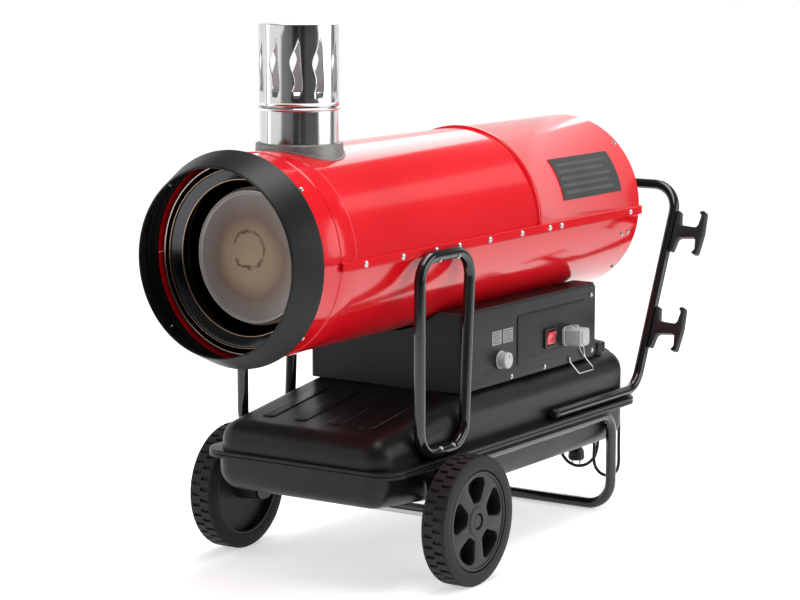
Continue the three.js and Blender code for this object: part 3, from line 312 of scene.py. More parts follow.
stainless = finish("stainless", rolled_steel((1.0, 1.0, 0.02), rgb(0.72, 0.72, 0.73), 0.1), Metallic=1.0)
ring_steel = finish("ring_steel", rolled_steel((0.02, 1.0, 1.0), rgb(0.50, 0.44, 0.40), 0.16),
                    "stainless", Metallic=1.0)
# Near-black steel for the exchanger's front: the shade deep inside the outlet is painted into its colour.
painted_shade_steel = finish("painted_shade_steel", rolled_steel((0.02, 1.0, 1.0), rgb(0.062, 0.064, 0.068), 0.10),
                      "stainless", Metallic=1.0)
bronzed_steel = finish("bronzed_steel", rolled_steel((0.02, 1.0, 1.0), rgb(0.48, 0.31, 0.20), 0.2),
                       "stainless", Metallic=1.0)
# Near-white steel, brighter than the metal: it paints in the highlight on the chamber end's rim and the
# light inside the flue cap.
painted_light_steel = finish("painted_light_steel", rolled_steel((1.0, 1.0, 0.05), rgb(0.93, 0.93, 0.93), 0.55),
                    "stainless", Metallic=0.4)
heat_steel = finish("heat_steel", heated_drum, Metallic=0.85)
disc_steel = finish("disc_steel", heated_disc, "heat_steel", Metallic=0.35)
galvanised = finish("galvanised", spangled_zinc, Metallic=0.75)
bright_steel = finish("bright_steel", rolled_steel((1.0, 0.05, 1.0), rgb(0.62, 0.62, 0.62), 0.18),
                      "galvanised", Metallic=1.0)
brass = finish("brass", rolled_steel((1.0, 1.0, 1.0), rgb(0.60, 0.42, 0.17), 0.2), Metallic=1.0)

# %% [markdown]
# ### Plastics and rubber
# A moulded tank has the fine spark-eroded grain of its mould. Small parts have a smoother skin.
# Rubber is duller still, and slightly brown and grey where it has been handled.

# %% Plastics and rubber
def moulding(deep, light, grain, roughness, depth=0.0002):
    def recipe(root, where):
        cloud = noise(root, where, 11.0, 3.0)
        speck = noise(root, where, grain, 2.0, 0.6)
        return {
            "Base Color": cloud.ramp(0.3, 0.7).blend(deep, light),
            "Roughness": roughness + cloud * 0.08,
            "Normal": bumped(root, speck, depth, 0.3),
        }
    return recipe


tank_plastic = finish(
    "tank_plastic", moulding(rgb(0.0046, 0.0048, 0.0054), rgb(0.0066, 0.0068, 0.0076), 700.0, 0.32),
    Specular_IOR_Level=0.27)
black_plastic = finish(
    "black_plastic", moulding(rgb(0.0085, 0.0086, 0.0090), rgb(0.012, 0.012, 0.0125), 1100.0, 0.42),
    Specular_IOR_Level=0.38)
grey_plastic = finish("grey_plastic", moulding(rgb(0.40, 0.41, 0.42), rgb(0.45, 0.46, 0.47), 1300.0, 0.42))
red_plastic = finish(
    "red_plastic", moulding(rgb(0.52, 0.012, 0.03), rgb(0.60, 0.02, 0.04), 900.0, 0.2, 0.0001),
    Coat_Weight=0.5, Coat_Roughness=0.08)
rubber = finish("rubber", moulding(rgb(0.010, 0.010, 0.0105), rgb(0.014, 0.0135, 0.0135), 800.0, 0.55),
                Specular_IOR_Level=0.35)
tyre = finish(
    "tyre", moulding(rgb(0.0092, 0.0084, 0.0082), rgb(0.0140, 0.0127, 0.0123), 500.0, 0.58, 0.0003),
    Specular_IOR_Level=0.3)
ceramic = finish("ceramic", moulding(rgb(0.74, 0.71, 0.64), rgb(0.80, 0.77, 0.70), 600.0, 0.3))
sticker = finish("sticker", moulding(rgb(0.24, 0.24, 0.24), rgb(0.28, 0.28, 0.28), 900.0, 0.5, 0.0001),
                 "grey_plastic")
sticker_dark = finish(
    "sticker_dark", moulding(rgb(0.022, 0.024, 0.024), rgb(0.030, 0.032, 0.032), 900.0, 0.35, 0.0001),
    "satin_black")
sticker_ink = finish(
    "sticker_ink", moulding(rgb(0.05, 0.05, 0.05), rgb(0.07, 0.07, 0.07), 900.0, 0.5, 0.0001),
    "satin_black")
print("finishes:", len(bpy.data.materials))

# %% [markdown]
# ## Forms
# Nearly every piece of a heater is made in one of four ways: turned, cut from a sheet, bent from a
# tube, or moulded. Each way is one function here, which gives a list of points and a list of faces.
# Forms can be joined before they become a piece, so a screw row or a tyre is one mesh.

# %% Joining and placing forms
def merged(*forms):
    points, faces = [], []
    for more_points, more_faces in forms:
        start = len(points)
        points += more_points
        faces += [[start + i for i in face] for face in more_faces]
    return points, faces


def placed(form, origin, u, v):
    """Lays a form drawn in the XY plane on the heater, its X along u and its Y along v."""
    u, v = Vector(u).normalized(), Vector(v).normalized()
    w = u.cross(v)
    points, faces = form
    return [origin + MM * (u * p[0] + v * p[1] + w * p[2]) for p in points], faces


def mirrored(form):
    points, faces = form
    return [Vector((p.x, -p.y, p.z)) for p in points], faces


# %% A piece from a form
def piece(name, form, material, body="chassis", stands_for=(), sharp=32):
    """Makes the mesh, shades it smooth except at sharp edges, and hands it to its body."""
    points, faces = form
    mesh = bpy.data.meshes.new(name)
    mesh.from_pydata([tuple(p) for p in points], [], faces)
    clean = bmesh.new()
    clean.from_mesh(mesh)
    bmesh.ops.remove_doubles(clean, verts=clean.verts, dist=0.002 * MM)
    bmesh.ops.dissolve_degenerate(clean, edges=clean.edges, dist=0.001 * MM)
    bmesh.ops.recalc_face_normals(clean, faces=clean.faces)
    clean.to_mesh(mesh)
    clean.free()
    mesh.shade_smooth()
    mesh.set_sharp_from_angle(angle=math.radians(sharp))
    mesh.materials.append(material)
    made = shown(name, mesh)
    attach(made, body)
    if stands_for:
        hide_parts(*stands_for)
    print(name, "has", len(mesh.polygons), "faces")
    return made


# %% [markdown]
# A turned form takes half of its section as points of [along the axis, radius]. A corner can get a
# rounding first, because no real edge is sharp: the thin highlight along it is what the eye reads.

# %% Turned forms and rounded outlines
def rounded(corners, steps=5, closed=True):
    """An outline through corners [u, v, rounding], with each rounding drawn as an arc."""
    points = []
    count = len(corners)
    for i, corner in enumerate(corners):
        here = Vector(corner[:2])
        rounding = corner[2] if len(corner) > 2 else 0.0
        if rounding == 0.0 or (not closed and i in (0, count - 1)):
            points.append(tuple(here))
            continue
        back = (Vector(corners[i - 1][:2]) - here).normalized()
        on = (Vector(corners[(i + 1) % count][:2]) - here).normalized()
        turn = math.pi - back.angle(on)
        if turn < 1e-4:
            points.append(tuple(here))
            continue
        start = here + back * rounding * math.tan(turn / 2)
        centre = here + (back + on).normalized() * rounding / math.cos(turn / 2)
        arm = start - centre
        side = 1.0 if back.cross(on) < 0 else -1.0
        for k in range(steps + 1):
            points.append(tuple(centre + Matrix.Rotation(side * turn * k / steps, 2) @ arm))
    return points


def turned(profile, axis, centre, segments=96, sweep=(0.0, 360.0)):
    """Turns a closed profile of [along, radius] about an axis through `centre`."""
    start, end = (math.radians(a) for a in sweep)
    full = abs(end - start) > math.tau - 1e-6
    stations = segments if full else segments + 1
    points = []
    for i in range(stations):
        angle = start + (end - start) * i / segments
        for along, radius in profile:
            u = centre[0] + radius * math.cos(angle)
            v = centre[1] + radius * math.sin(angle)
            places = {"X": (along, u, v), "Y": (u, along, v), "Z": (u, v, along)}
            points.append(at(*places[axis]))
    count = len(profile)
    faces = []
    for i in range(segments):
        a, b = i * count, ((i + 1) % stations) * count
        for k in range(count):
            m = (k + 1) % count
            faces.append([a + k, a + m, b + m, b + k])
    if not full:
        faces += [list(range(count)), list(range(len(points) - count, len(points)))]
    return points, faces


def on_axis(profile, segments=160, sweep=(0.0, 360.0)):
    """Turned about the barrel's own axis."""
    return turned(profile, "X", (0.0, AXIS_Z), segments, sweep)


# %% [markdown]
# A flat part is drawn as a filled 2D curve. Blender fills round the holes and rounds the edges of
# the outline and of every hole alike, which boolean cuts and bevels would do less evenly.

# %% Flat parts
def plate(outline, thickness, edge=0.6, holes=()):
    """A flat part in the XY plane with rounded edges, standing up along +Z from 0."""
    curve = bpy.data.curves.new("plate", "CURVE")
    curve.dimensions = "2D"
    curve.fill_mode = "BOTH"
    curve.extrude = max(thickness / 2 - edge, 0.0)
    curve.bevel_depth = edge
    curve.bevel_resolution = 3
    curve.offset = -edge
    for loop in (outline, *holes):
        spline = curve.splines.new("POLY")
        spline.points.add(len(loop) - 1)
        for point, (u, v) in zip(spline.points, loop):
            point.co = (u, v, 0.0, 1.0)
        spline.use_cyclic_u = True
    holder = bpy.data.objects.new("plate", curve)
    mesh = bpy.data.meshes.new_from_object(holder)
    points = [(v.co.x, v.co.y, v.co.z + thickness / 2) for v in mesh.vertices]
    faces = [list(face.vertices) for face in mesh.polygons]
    bpy.data.objects.remove(holder)
    bpy.data.curves.remove(curve)
    bpy.data.meshes.remove(mesh)
    return points, faces


def rectangle(u0, v0, u1, v1, rounding=0.0, steps=5):
    return rounded([(u0, v0, rounding), (u1, v0, rounding), (u1, v1, rounding), (u0, v1, rounding)], steps)


def circle(u, v, radius, count=64):
    return [(u + radius * math.cos(math.tau * i / count), v + radius * math.sin(math.tau * i / count))
            for i in range(count)]


def facing_near(form, y):
    """Lays a plate drawn in x and z on the near side, so that it stands out from y towards -Y."""
    return placed(form, at(0, y, 0), (1, 0, 0), (0, 0, 1))


def lying(form, z):
    """Lays a plate drawn in x and y flat, so that it stands up from z."""
    return placed(form, at(0, 0, z), (1, 0, 0), (0, 1, 0))


# %% [markdown]
# A bent tube is a circle carried along its centre line. Carrying the circle from stop to stop by
# the smallest turn keeps the tube from twisting, whichever way the bends go.

# %% Bent tubes
def bent(corners, steps=10):
    """Corners [x, y, z, bend radius] as the stops of a centre line, in metres."""
    stops = []
    for i, corner in enumerate(corners):
        here = at(*corner[:3])
        radius = corner[3] * MM if len(corner) > 3 else 0.0
        if radius == 0.0:
            stops.append(here)
            continue
        back = (at(*corners[i - 1][:3]) - here).normalized()
        on = (at(*corners[i + 1][:3]) - here).normalized()
        turn = math.pi - back.angle(on)
        start = here + back * radius * math.tan(turn / 2)
        centre = here + (back + on).normalized() * radius / math.cos(turn / 2)
        axis = on.cross(back).normalized()
        for k in range(steps + 1):
            stops.append(Matrix.Rotation(turn * k / steps, 3, axis) @ (start - centre) + centre)
    return stops


def swept(stops, radius, sides=28, dome=0.0):
    """A round bar along its stops, with slightly domed ends."""
    tangents = []
    for i in range(len(stops)):
        before, after = stops[max(i - 1, 0)], stops[min(i + 1, len(stops) - 1)]
        tangents.append((after - before).normalized())
    across = tangents[0].orthogonal().normalized()
    points, rings = [], []
    for i, (stop, tangent) in enumerate(zip(stops, tangents)):
        if i:
            across = tangents[i - 1].rotation_difference(tangent) @ across
        other = tangent.cross(across).normalized()
        rings.append(len(points))
        points += [stop + radius * MM * (across * math.cos(math.tau * k / sides) +
                                         other * math.sin(math.tau * k / sides)) for k in range(sides)]
    faces = []
    for a, b in zip(rings, rings[1:]):
        faces += [[a + k, a + (k + 1) % sides, b + (k + 1) % sides, b + k] for k in range(sides)]
    for ring, stop, tangent in ((rings[0], stops[0], -tangents[0]), (rings[-1], stops[-1], tangents[-1])):
        points.append(stop + tangent * dome * MM)
        faces += [[ring + k, ring + (k + 1) % sides, len(points) - 1] for k in range(sides)]
    return points, faces


def lofted(rings, caps=True):
    """Joins rings of points, each with as many, into one skin."""
    count = len(rings[0])
    points = [p for ring in rings for p in ring]
    faces = []
    for i in range(len(rings) - 1):
        a, b = i * count, (i + 1) * count
        faces += [[a + k, a + (k + 1) % count, b + (k + 1) % count, b + k] for k in range(count)]
    if caps:
        faces += [list(range(count)), list(range(len(points) - count, len(points)))]
    return points, faces


# %% [markdown]
# Small pan-head screws hold the barrel, the panel and the lips. One screw is a domed head on a
# washer, with a round recess in its middle. At this size a cross in the recess would never show.

# %% Screws
def screw(where, out, radius=4.9):
    """A screw head at a place, standing out along a direction."""
    out = Vector(out).normalized()
    u = out.orthogonal().normalized()
    v = out.cross(u)
    sides = 20
    washer = [(radius * 1.35, 0.0), (radius * 1.35, 0.5), (radius, 0.6)]
    head = [(radius, 1.6), (radius * 0.86, 2.7), (radius * 0.5, 3.4), (radius * 0.4, 2.2), (0.0, 2.1)]
    angles = [math.tau * k / sides for k in range(sides)]
    rings = [[where + MM * (out * up + r * (u * math.cos(a) + v * math.sin(a))) for a in angles]
             for r, up in washer + head]
    return lofted(rings, caps=False)


# %% [markdown]
# ## Mains lead
# The lead leaves the housing's rear wall, crosses the tank's shoulder and hangs down behind it. The
# length that isn't needed is wound into a flat coil that is tied to the tank's flange, and the end
# makes one low loop with the plug in it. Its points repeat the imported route, so the lead lies where
# its solids are. A curve of one open spline is enough, because a round lead needs no mesh of its own.

# %% Mains lead: the route
CORD_RADIUS = 3.5
GLAND_NOSE, GLAND_Y, GLAND_Z = 1034.0, -60.0, 356.0
COIL_X, COIL_Y, COIL_Z = 1149.6, -60.0, 146.0
COIL_INNER, COIL_OUTER, COIL_TURNS = 30.0, 45.0, 1.75
LAYER_STEP = 2 * CORD_RADIUS + 0.9
COIL_FRONT, COIL_REAR = COIL_X - LAYER_STEP / 2, COIL_X + LAYER_STEP / 2
NEAR_Y, FAR_Y = COIL_Y - COIL_OUTER, COIL_Y + COIL_OUTER
COIL_FOOT = COIL_Z - 2 * CORD_RADIUS - GAP
PLUG_X, PLUG_Y, PLUG_Z = 1175.0, -44.0, 68.0
PLUG_TOP = PLUG_Z + 40.0

drop_route = [
    (GLAND_NOSE + GAP, GLAND_Y, GLAND_Z), (GLAND_NOSE + 16, GLAND_Y, 355.8), (1066, -65, 352.5),
    (1081, -76, 347.8), (1094, -91, 344), (1106, -108, 341), (1117, -125, 336.5), (1128, -141, 328.5),
    (1137.5, -153, 315), (1144, -160, 297), (1147, -163, 276), (1147.5, -164, 240), (1147, -164.5, 200),
    (1147, -165, 160), (1147, -165, 120), (1147, -165, 78), (1147, -161, 63), (1147, -150, 52),
    (1147, -135, 48), (1147, -120, 52), (1146.5, -109, 63), (COIL_FRONT, NEAR_Y, 78),
    (COIL_FRONT, NEAR_Y, 110), (COIL_FRONT, NEAR_Y, COIL_FOOT),
]
tail_route = [
    (COIL_REAR, FAR_Y, COIL_FOOT), (COIL_REAR, FAR_Y, 130), (1153.5, -15, 116), (1153.5, -15, 102.5),
    (1153.5, -20.8, 81), (1153.5, -36.8, 65), (1154.5, -58.5, 59), (1157.5, -80.2, 65), (1161, -96.2, 81),
    (1164.5, -102, 102.5), (1166.5, -102, 113), (1168.5, -102, 124.5), (1170.3, -98, 139),
    (1172, -87.5, 149.6), (1173.5, -73, 153.5), (PLUG_X - 0.5, -58.5, 149.6), (PLUG_X, -48, 139),
    (PLUG_X, PLUG_Y, 124.5), (PLUG_X, PLUG_Y, 116), (PLUG_X, PLUG_Y, PLUG_TOP + GAP),
]


def coil_route(per_turn=24):
    """Winds in, climbs one layer where the spiral reverses, and winds out again."""
    route = []
    steps = round(2 * COIL_TURNS * per_turn)
    for i in range(steps + 1):
        turns = i / per_turn
        radius = COIL_INNER + (COIL_OUTER - COIL_INNER) * abs(turns - COIL_TURNS) / COIL_TURNS
        climb = min(max((turns - COIL_TURNS + 0.25) / 0.5, 0.0), 1.0)
        angle = math.pi - turns * math.tau
        route.append((COIL_FRONT + climb * LAYER_STEP,
                      COIL_Y + radius * math.cos(angle), COIL_Z + radius * math.sin(angle)))
    return route


def smoothed(route, steps=6):
    """A centripetal Catmull-Rom curve through the points, which bends evenly however they are spaced."""
    stops = [Vector(p) for p in route]
    stops = [2 * stops[0] - stops[1], *stops, 2 * stops[-1] - stops[-2]]
    curve = []
    for before, start, end, after in zip(stops, stops[1:], stops[2:], stops[3:]):
        d0, d1, d2 = ((b - a).length ** 0.5 for a, b in ((before, start), (start, end), (end, after)))
        leave = (start - before) / d0 - (end - before) / (d0 + d1) + (end - start) / d1
        arrive = (end - start) / d1 - (after - start) / (d1 + d2) + (after - end) / d2
        leave, arrive = leave * d1, arrive * d1
        for k in range(steps):
            t = k / steps
            curve.append(start + t * leave + t * t * (3 * (end - start) - 2 * leave - arrive) +
                         t ** 3 * (2 * (start - end) + leave + arrive))
    return [*curve, stops[-2]]


# %% Mains lead: the curve, the gland and the plug
lead_route = smoothed(drop_route) + [Vector(p) for p in coil_route()] + smoothed(tail_route)
lead_stops = [at(*p) for p in lead_route]

lead_curve = bpy.data.curves.new("mains_lead", "CURVE")
lead_curve.dimensions = "3D"
lead_curve.bevel_depth = CORD_RADIUS * MM
lead_curve.bevel_resolution = 6
lead_curve.use_fill_caps = True
lead_spline = lead_curve.splines.new("POLY")
lead_spline.points.add(len(lead_stops) - 1)
for lead_point, stop in zip(lead_spline.points, lead_stops):
    lead_point.co = (*stop, 1.0)
lead_spline.use_smooth = True
lead_curve.materials.append(rubber)
mains_lead = shown("mains_lead", lead_curve)
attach(mains_lead, "chassis")
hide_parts("cord_drop", "cord_coil", "cord_tail")

gland_x = GLAND_NOSE - 26.0
gland = merged(
    turned(rounded([(gland_x - 6, 3.8), (gland_x - 6, 7.2), (gland_x + GAP, 7.2), (gland_x + GAP, 11, 1.2),
                    (gland_x + 9, 11, 1.2), (gland_x + 9, 8), (GLAND_NOSE, 5.4, 0.8), (GLAND_NOSE, 3.8)], 3),
           "X", (GLAND_Y, GLAND_Z), 48),
    *[turned([(gland_x + 11 + 4 * k, 7.0 - 0.4 * k), (gland_x + 12 + 4 * k, 8.6 - 0.45 * k),
              (gland_x + 13.4 + 4 * k, 8.4 - 0.45 * k), (gland_x + 14 + 4 * k, 7.0 - 0.5 * k)],
             "X", (GLAND_Y, GLAND_Z), 40) for k in range(5)])
piece("lead_gland", gland, black_plastic, stands_for=("cable_gland",))

plug_profile = rounded([(PLUG_Z, 0), (PLUG_Z, 16, 1.2), (PLUG_Z + 5, 18.5, 3), (PLUG_Z + 20, 17, 8),
                        (PLUG_Z + 34, 8.5, 4), (PLUG_TOP, 6, 0.8), (PLUG_TOP, 0)], 5)
plug_form = turned(plug_profile, "Z", (PLUG_X, PLUG_Y), 56)
plug = piece("lead_plug", plug_form, black_plastic, stands_for=("mains_plug",))
pin_profile = rounded([(PLUG_Z - 12, 0), (PLUG_Z - 12, 2.4, 0.9), (PLUG_Z + 1, 2.4), (PLUG_Z + 1, 0)], 4)
pins = merged(*[turned(pin_profile, "Z", (PLUG_X, PLUG_Y + side * 9.5), 24) for side in (-1, 1)])
plug_pins = piece("plug_pins", pins, bright_steel)
tuple(at(GLAND_NOSE, GLAND_Y, GLAND_Z))

# %% [markdown]
# ## Barrel
# The barrel is rolled from three sheets: one below and two above, which meet under a raised band.
# Near the front each sheet has a pressed band that stiffens it. Where upper and lower sheets meet,
# the upper one folds outward and down over the seam. Each sheet is a turned form with half a sweep.

# %% Barrel sheets
BARREL_RADIUS = 188.5
SHEET = 1.5
BARREL_REAR = 1181.0
JOINT_X = 752.0
LIP_REACH = 7.0
LIP_DROP = 16.0
SWAGE_X, SWAGE_WIDTH, SWAGE_RISE = 62.0, 53.0, 1.6
BAND_WIDTH, BAND_RISE = 14.0, 4.5


def stepped(x0, x1, features):
    """The outer line of a sheet with raised features of [start, width, rise, run]."""
    line = [(x0, BARREL_RADIUS - 0.5), (x0 + 0.6, BARREL_RADIUS)]
    for start, width, rise, run in features:
        shares = [k / 8 for k in range(9)]
        line += [(start + run * share, BARREL_RADIUS + rise * (0.5 - 0.5 * math.cos(math.pi * share)))
                 for share in shares]
        line += [(start + width - run * (1 - share),
                  BARREL_RADIUS + rise * (0.5 + 0.5 * math.cos(math.pi * share))) for share in shares]
    return line + [(x1 - 0.6, BARREL_RADIUS), (x1, BARREL_RADIUS - 0.5)]


def sheet_section(line):
    inner = BARREL_RADIUS - SHEET
    return line + [(line[-1][0], inner), (line[0][0], inner)]


def lip(x0, x1, side):
    """The folded edge along a side seam: out, over a rounded fold, and down."""
    inside, reach = BARREL_RADIUS - SHEET + 0.4, BARREL_RADIUS + LIP_REACH
    section = rounded([
        (inside, AXIS_Z), (reach - SHEET, AXIS_Z, 0.6), (reach - SHEET, AXIS_Z - LIP_DROP),
        (reach, AXIS_Z - LIP_DROP), (reach, AXIS_Z + SHEET, 1.8), (inside, AXIS_Z + SHEET)], 4)
    rings = [[at(x, side * v, w) for v, w in section] for x in (x0, x1)]
    return lofted(rings)


swage = (SWAGE_X, SWAGE_WIDTH, SWAGE_RISE, 4.0)
front_line = stepped(GAP, JOINT_X - GAP, [swage])
joint_band = (JOINT_X, BAND_WIDTH + 2, BAND_RISE, 2.6)
rear_line = [(JOINT_X, BARREL_RADIUS)] + stepped(JOINT_X, BARREL_REAR, [joint_band])[2:]
lower_line = stepped(GAP, BARREL_REAR, [swage])
near_far = (-1, 1)
piece("barrel_top_front", merged(on_axis(sheet_section(front_line), 96, (0, 180)),
                                 *[lip(SWAGE_X, JOINT_X - GAP, side) for side in near_far]),
      red_paint, stands_for=("barrel_upper_front",))
piece("barrel_top_rear", merged(on_axis(sheet_section(rear_line), 96, (0, 180)),
                                *[lip(JOINT_X, BARREL_REAR, side) for side in near_far]),
      red_paint, stands_for=("barrel_upper_rear",))
piece("barrel_bottom", on_axis(sheet_section(lower_line), 96, (180.1, 359.9)),
      red_paint, stands_for=("barrel_lower",))

# %% [markdown]
# Bright screws run along each lip and round both ends of the barrel. They are small, but the row of
# glints is one of the first things that shows in a photograph of such a heater.

# %% Barrel screws
LIP_SCREWS_X = (134, 255, 368, 449, 560, 681, 790, 837, 1130)
for side, label in zip(near_far, ("near", "far")):
    out = (0, side, 0)
    heads = [screw(at(x, side * (BARREL_RADIUS + LIP_REACH), AXIS_Z - 7.5), out) for x in LIP_SCREWS_X]
    piece(f"lip_screws_{label}", merged(*heads), bright_steel)


def round_barrel(x, degrees, radius=BARREL_RADIUS):
    """A screw on the barrel at an angle from the far side over the top."""
    angle = math.radians(degrees)
    out = Vector((0, math.cos(angle), math.sin(angle)))
    return screw(at(x, radius * out.y, AXIS_Z + radius * out.z), out, 4.2)


end_angles = (45, 135, 225, 315)
end_screws = [round_barrel(x, a) for x in (22, 1166) for a in end_angles]
end_screws += [round_barrel(x, a) for x, a in ((1120, 197), (1146, 196), (1120, 343), (1146, 344))]
piece("barrel_end_screws", merged(*end_screws), bright_steel)
print("barrel screws:", 2 * len(LIP_SCREWS_X) + len(end_screws))

# %% [markdown]
# ## Outlet ring and the drums behind it
# The ring flares from its narrow front edge to the barrel's width and is open to the hot air. Inside
# it lie three drums in one another: the heat shield, the hollow heat exchanger and the chamber with
# its pressed end. All of them are turned, and their thin bright rims catch the light. The chamber
# end's rim is near-white steel, a painted highlight.

# %% Outlet ring and drums
RING_RADIUS, RING_FRONT, RING_DEPTH, RING_WALL, RING_LIP = 199.4, 174.5, 58.0, 2.2, 3.0
BARREL_INNER = BARREL_RADIUS - SHEET
slope = (RING_RADIUS - RING_FRONT) / RING_DEPTH
sleeve_radius = BARREL_INNER - GAP
SLEEVE_DEPTH = 12
ring_profile = rounded([
    (0, RING_RADIUS, 1.2), (-RING_DEPTH, RING_FRONT, 2.5),
    (-RING_DEPTH - RING_LIP, RING_FRONT - 2.2, 1.5), (-RING_DEPTH - RING_LIP + 0.6, RING_FRONT - 5, 1.2),
    (-RING_DEPTH + 2, RING_FRONT - RING_WALL - 0.8, 1.2),
    (-RING_WALL, RING_RADIUS - RING_WALL * (1 + slope), 1.0), (-RING_WALL, sleeve_radius - SHEET),
    (SLEEVE_DEPTH, sleeve_radius - SHEET), (SLEEVE_DEPTH, sleeve_radius), (0, sleeve_radius)], 5)
piece("outlet_ring", on_axis(ring_profile, 192), satin_grey, stands_for=("front_ring",))
NUT_X, nut_reach = -20, 0.985 * (RING_RADIUS - 12)
ring_nuts = [screw(at(NUT_X, nut_reach * math.cos(a), AXIS_Z + nut_reach * math.sin(a)),
                   (0, -math.cos(a), -math.sin(a)), 2.6) for a in (math.radians(k) for k in end_angles)]
piece("ring_nuts", merged(*ring_nuts), bright_steel)


def drum(x0, x1, radius, wall=1.5, bead=2.2):
    """A sheet drum whose front edge is rolled into a small bead."""
    return on_axis(rounded([
        (x0, radius - wall), (x0, radius), (x0 + bead, radius), (x1, radius), (x1, radius - wall),
        (x0 + bead, radius - wall)], 2))


def rim(x, radius, thick=1.6):
    """A rolled wire edge round the front of a drum."""
    return on_axis([(x + thick * math.sin(math.tau * k / 12), radius + thick * math.cos(math.tau * k / 12))
                    for k in range(12)])


EXCHANGER_RADIUS, EXCHANGER_BORE, EXCHANGER_SLOPE = 164.0, 142.0, 12.0
CHAMBER_RADIUS = 120.7
shield = merged(drum(16, 880, 176), rim(18.2, 175.0, 2.2))
piece("shield_drum", shield, ring_steel, stands_for=("heat_shield",))
exchanger_front = on_axis(rounded([
    (18, EXCHANGER_RADIUS, 2.5), (850, EXCHANGER_RADIUS), (850, EXCHANGER_BORE),
    (18 + EXCHANGER_SLOPE, EXCHANGER_BORE, 2.5), (19.5, EXCHANGER_RADIUS - 5, 2.0)], 6))
# The exchanger's near-black steel is painted shade.
piece("exchanger_drum", exchanger_front, painted_shade_steel, stands_for=("heat_exchanger",))
exchanger_rims = merged(rim(30.4, EXCHANGER_BORE + 1.6, 1.6), rim(17.6, EXCHANGER_RADIUS - 0.6, 1.3))
piece("exchanger_rims", exchanger_rims, bronzed_steel)
chamber_profile = [(53.3, 119.2), (53.3, CHAMBER_RADIUS), (790, CHAMBER_RADIUS), (790, 45.6),
                   (788.5, 45.6), (788.5, 119.2)]
chamber_collar = on_axis(rounded([(64, 120.5), (64, 127.5, 1.5), (84, 127.5), (84, 120.5)], 4))
piece("chamber_drum", merged(on_axis(chamber_profile), chamber_collar), heat_steel,
      stands_for=("combustion_chamber",))

DISC_FRONT, DISC_RIM, DISC_DOME = 50.0, 3.0, 9.0
dome_edge = CHAMBER_RADIUS - 7.0
dome = [(DISC_FRONT + 2 - DISC_DOME * (1 - (k / 16) ** 2), dome_edge * k / 16) for k in range(16)]
disc_profile = dome + rounded([
    (DISC_FRONT + 2, dome_edge, 1.5), (DISC_FRONT, CHAMBER_RADIUS - 4, 1.2),
    (DISC_FRONT, CHAMBER_RADIUS, 0.8), (DISC_FRONT + DISC_RIM, CHAMBER_RADIUS),
    (DISC_FRONT + DISC_RIM, 0)], 4, closed=False)
piece("chamber_end", on_axis(disc_profile), disc_steel, stands_for=("chamber_end_disc",))
# The rim's near-white steel is a painted highlight.
piece("disc_rim", rim(DISC_FRONT + 1.7, CHAMBER_RADIUS - 0.6, 1.7), painted_light_steel)
print("drums: shield 352, exchanger 328, chamber 241.4 mm across")

# %% [markdown]
# ## Flue
# A matte collar sits on the barrel, and its foot follows the barrel's curve, so it is lofted from
# rings that dip with the angle. The polished pipe has one pressed bead. The cap's flame-shaped slots
# would leave ragged shading if they were cut out. So the cap is built as strips: each sector's
# columns run along the flame's own edges.

# %% Flue collar and pipe
FLUE_X = 201.0
FLUE_RADIUS, COLLAR_RADIUS, COLLAR_TOP = 73.3, 81.5, 838.0
BEAD_Z, BEAD_RISE, CAP_RADIUS, CAP_TOP = 903.0, 4.0, 74.8, 1057.0


def saddle_z(y, lift):
    return AXIS_Z + math.sqrt((BARREL_RADIUS + lift) ** 2 - y * y)


def collar_ring(radius, z=None, lift=0.3):
    sides = 128
    ring = []
    for k in range(sides):
        angle = math.tau * k / sides
        x, y = FLUE_X + radius * math.cos(angle), radius * math.sin(angle)
        ring.append(at(x, y, z if z is not None else saddle_z(y, lift)))
    return ring


collar = [collar_ring(FLUE_RADIUS + GAP), collar_ring(COLLAR_RADIUS + 4.5),
          collar_ring(COLLAR_RADIUS + 4.5, lift=1.4), collar_ring(COLLAR_RADIUS + 0.8, lift=2.2),
          collar_ring(COLLAR_RADIUS, COLLAR_TOP - 3)]
collar += [collar_ring(COLLAR_RADIUS - 3 + 3 * math.cos(a), COLLAR_TOP - 3 + 3 * math.sin(a))
           for a in (0.4, 0.8, 1.2, math.pi / 2)]
collar += [collar_ring(FLUE_RADIUS + GAP, COLLAR_TOP), collar_ring(FLUE_RADIUS + GAP)]
piece("flue_foot", lofted(collar, caps=False), galvanised, stands_for=("flue_collar",))

bead = [(BEAD_Z - 5 + 8 * k / 12, FLUE_RADIUS + BEAD_RISE * math.sin(math.pi * k / 12)) for k in range(13)]
PIPE_FOOT, PIPE_TOP = 828.4, 917
pipe_profile = [(PIPE_FOOT, FLUE_RADIUS - 1), (PIPE_FOOT, FLUE_RADIUS), *bead,
                (PIPE_TOP, FLUE_RADIUS), (PIPE_TOP, FLUE_RADIUS - 1)]
SEAM_ANGLE = math.radians(161)


def seam(radius, z0, z1):
    """The locked vertical seam of a rolled pipe: a flat strip, slightly proud."""
    out = Vector((math.cos(SEAM_ANGLE), math.sin(SEAM_ANGLE), 0))
    along = Vector((-out.y, out.x, 0))
    foot = at(FLUE_X + (radius - 0.4) * out.x, (radius - 0.4) * out.y, z0)
    return placed(plate(rectangle(-2.4, 0, 2.4, z1 - z0, 0.5), 1.2, 0.4), foot, along, (0, 0, 1))


piece("flue_tube", merged(turned(pipe_profile, "Z", (FLUE_X, 0), 144), seam(FLUE_RADIUS, 829, BEAD_Z - 6)),
      stainless, stands_for=("flue_pipe",))

# %% Flue cap
SLOT_COUNT, SLOT_LOW, SLOT_HEIGHT, SLOT_WIDTH = 11, 934.0, 94.0, 17.0
SECTOR = math.tau / SLOT_COUNT
CAP_WALL = 1.0


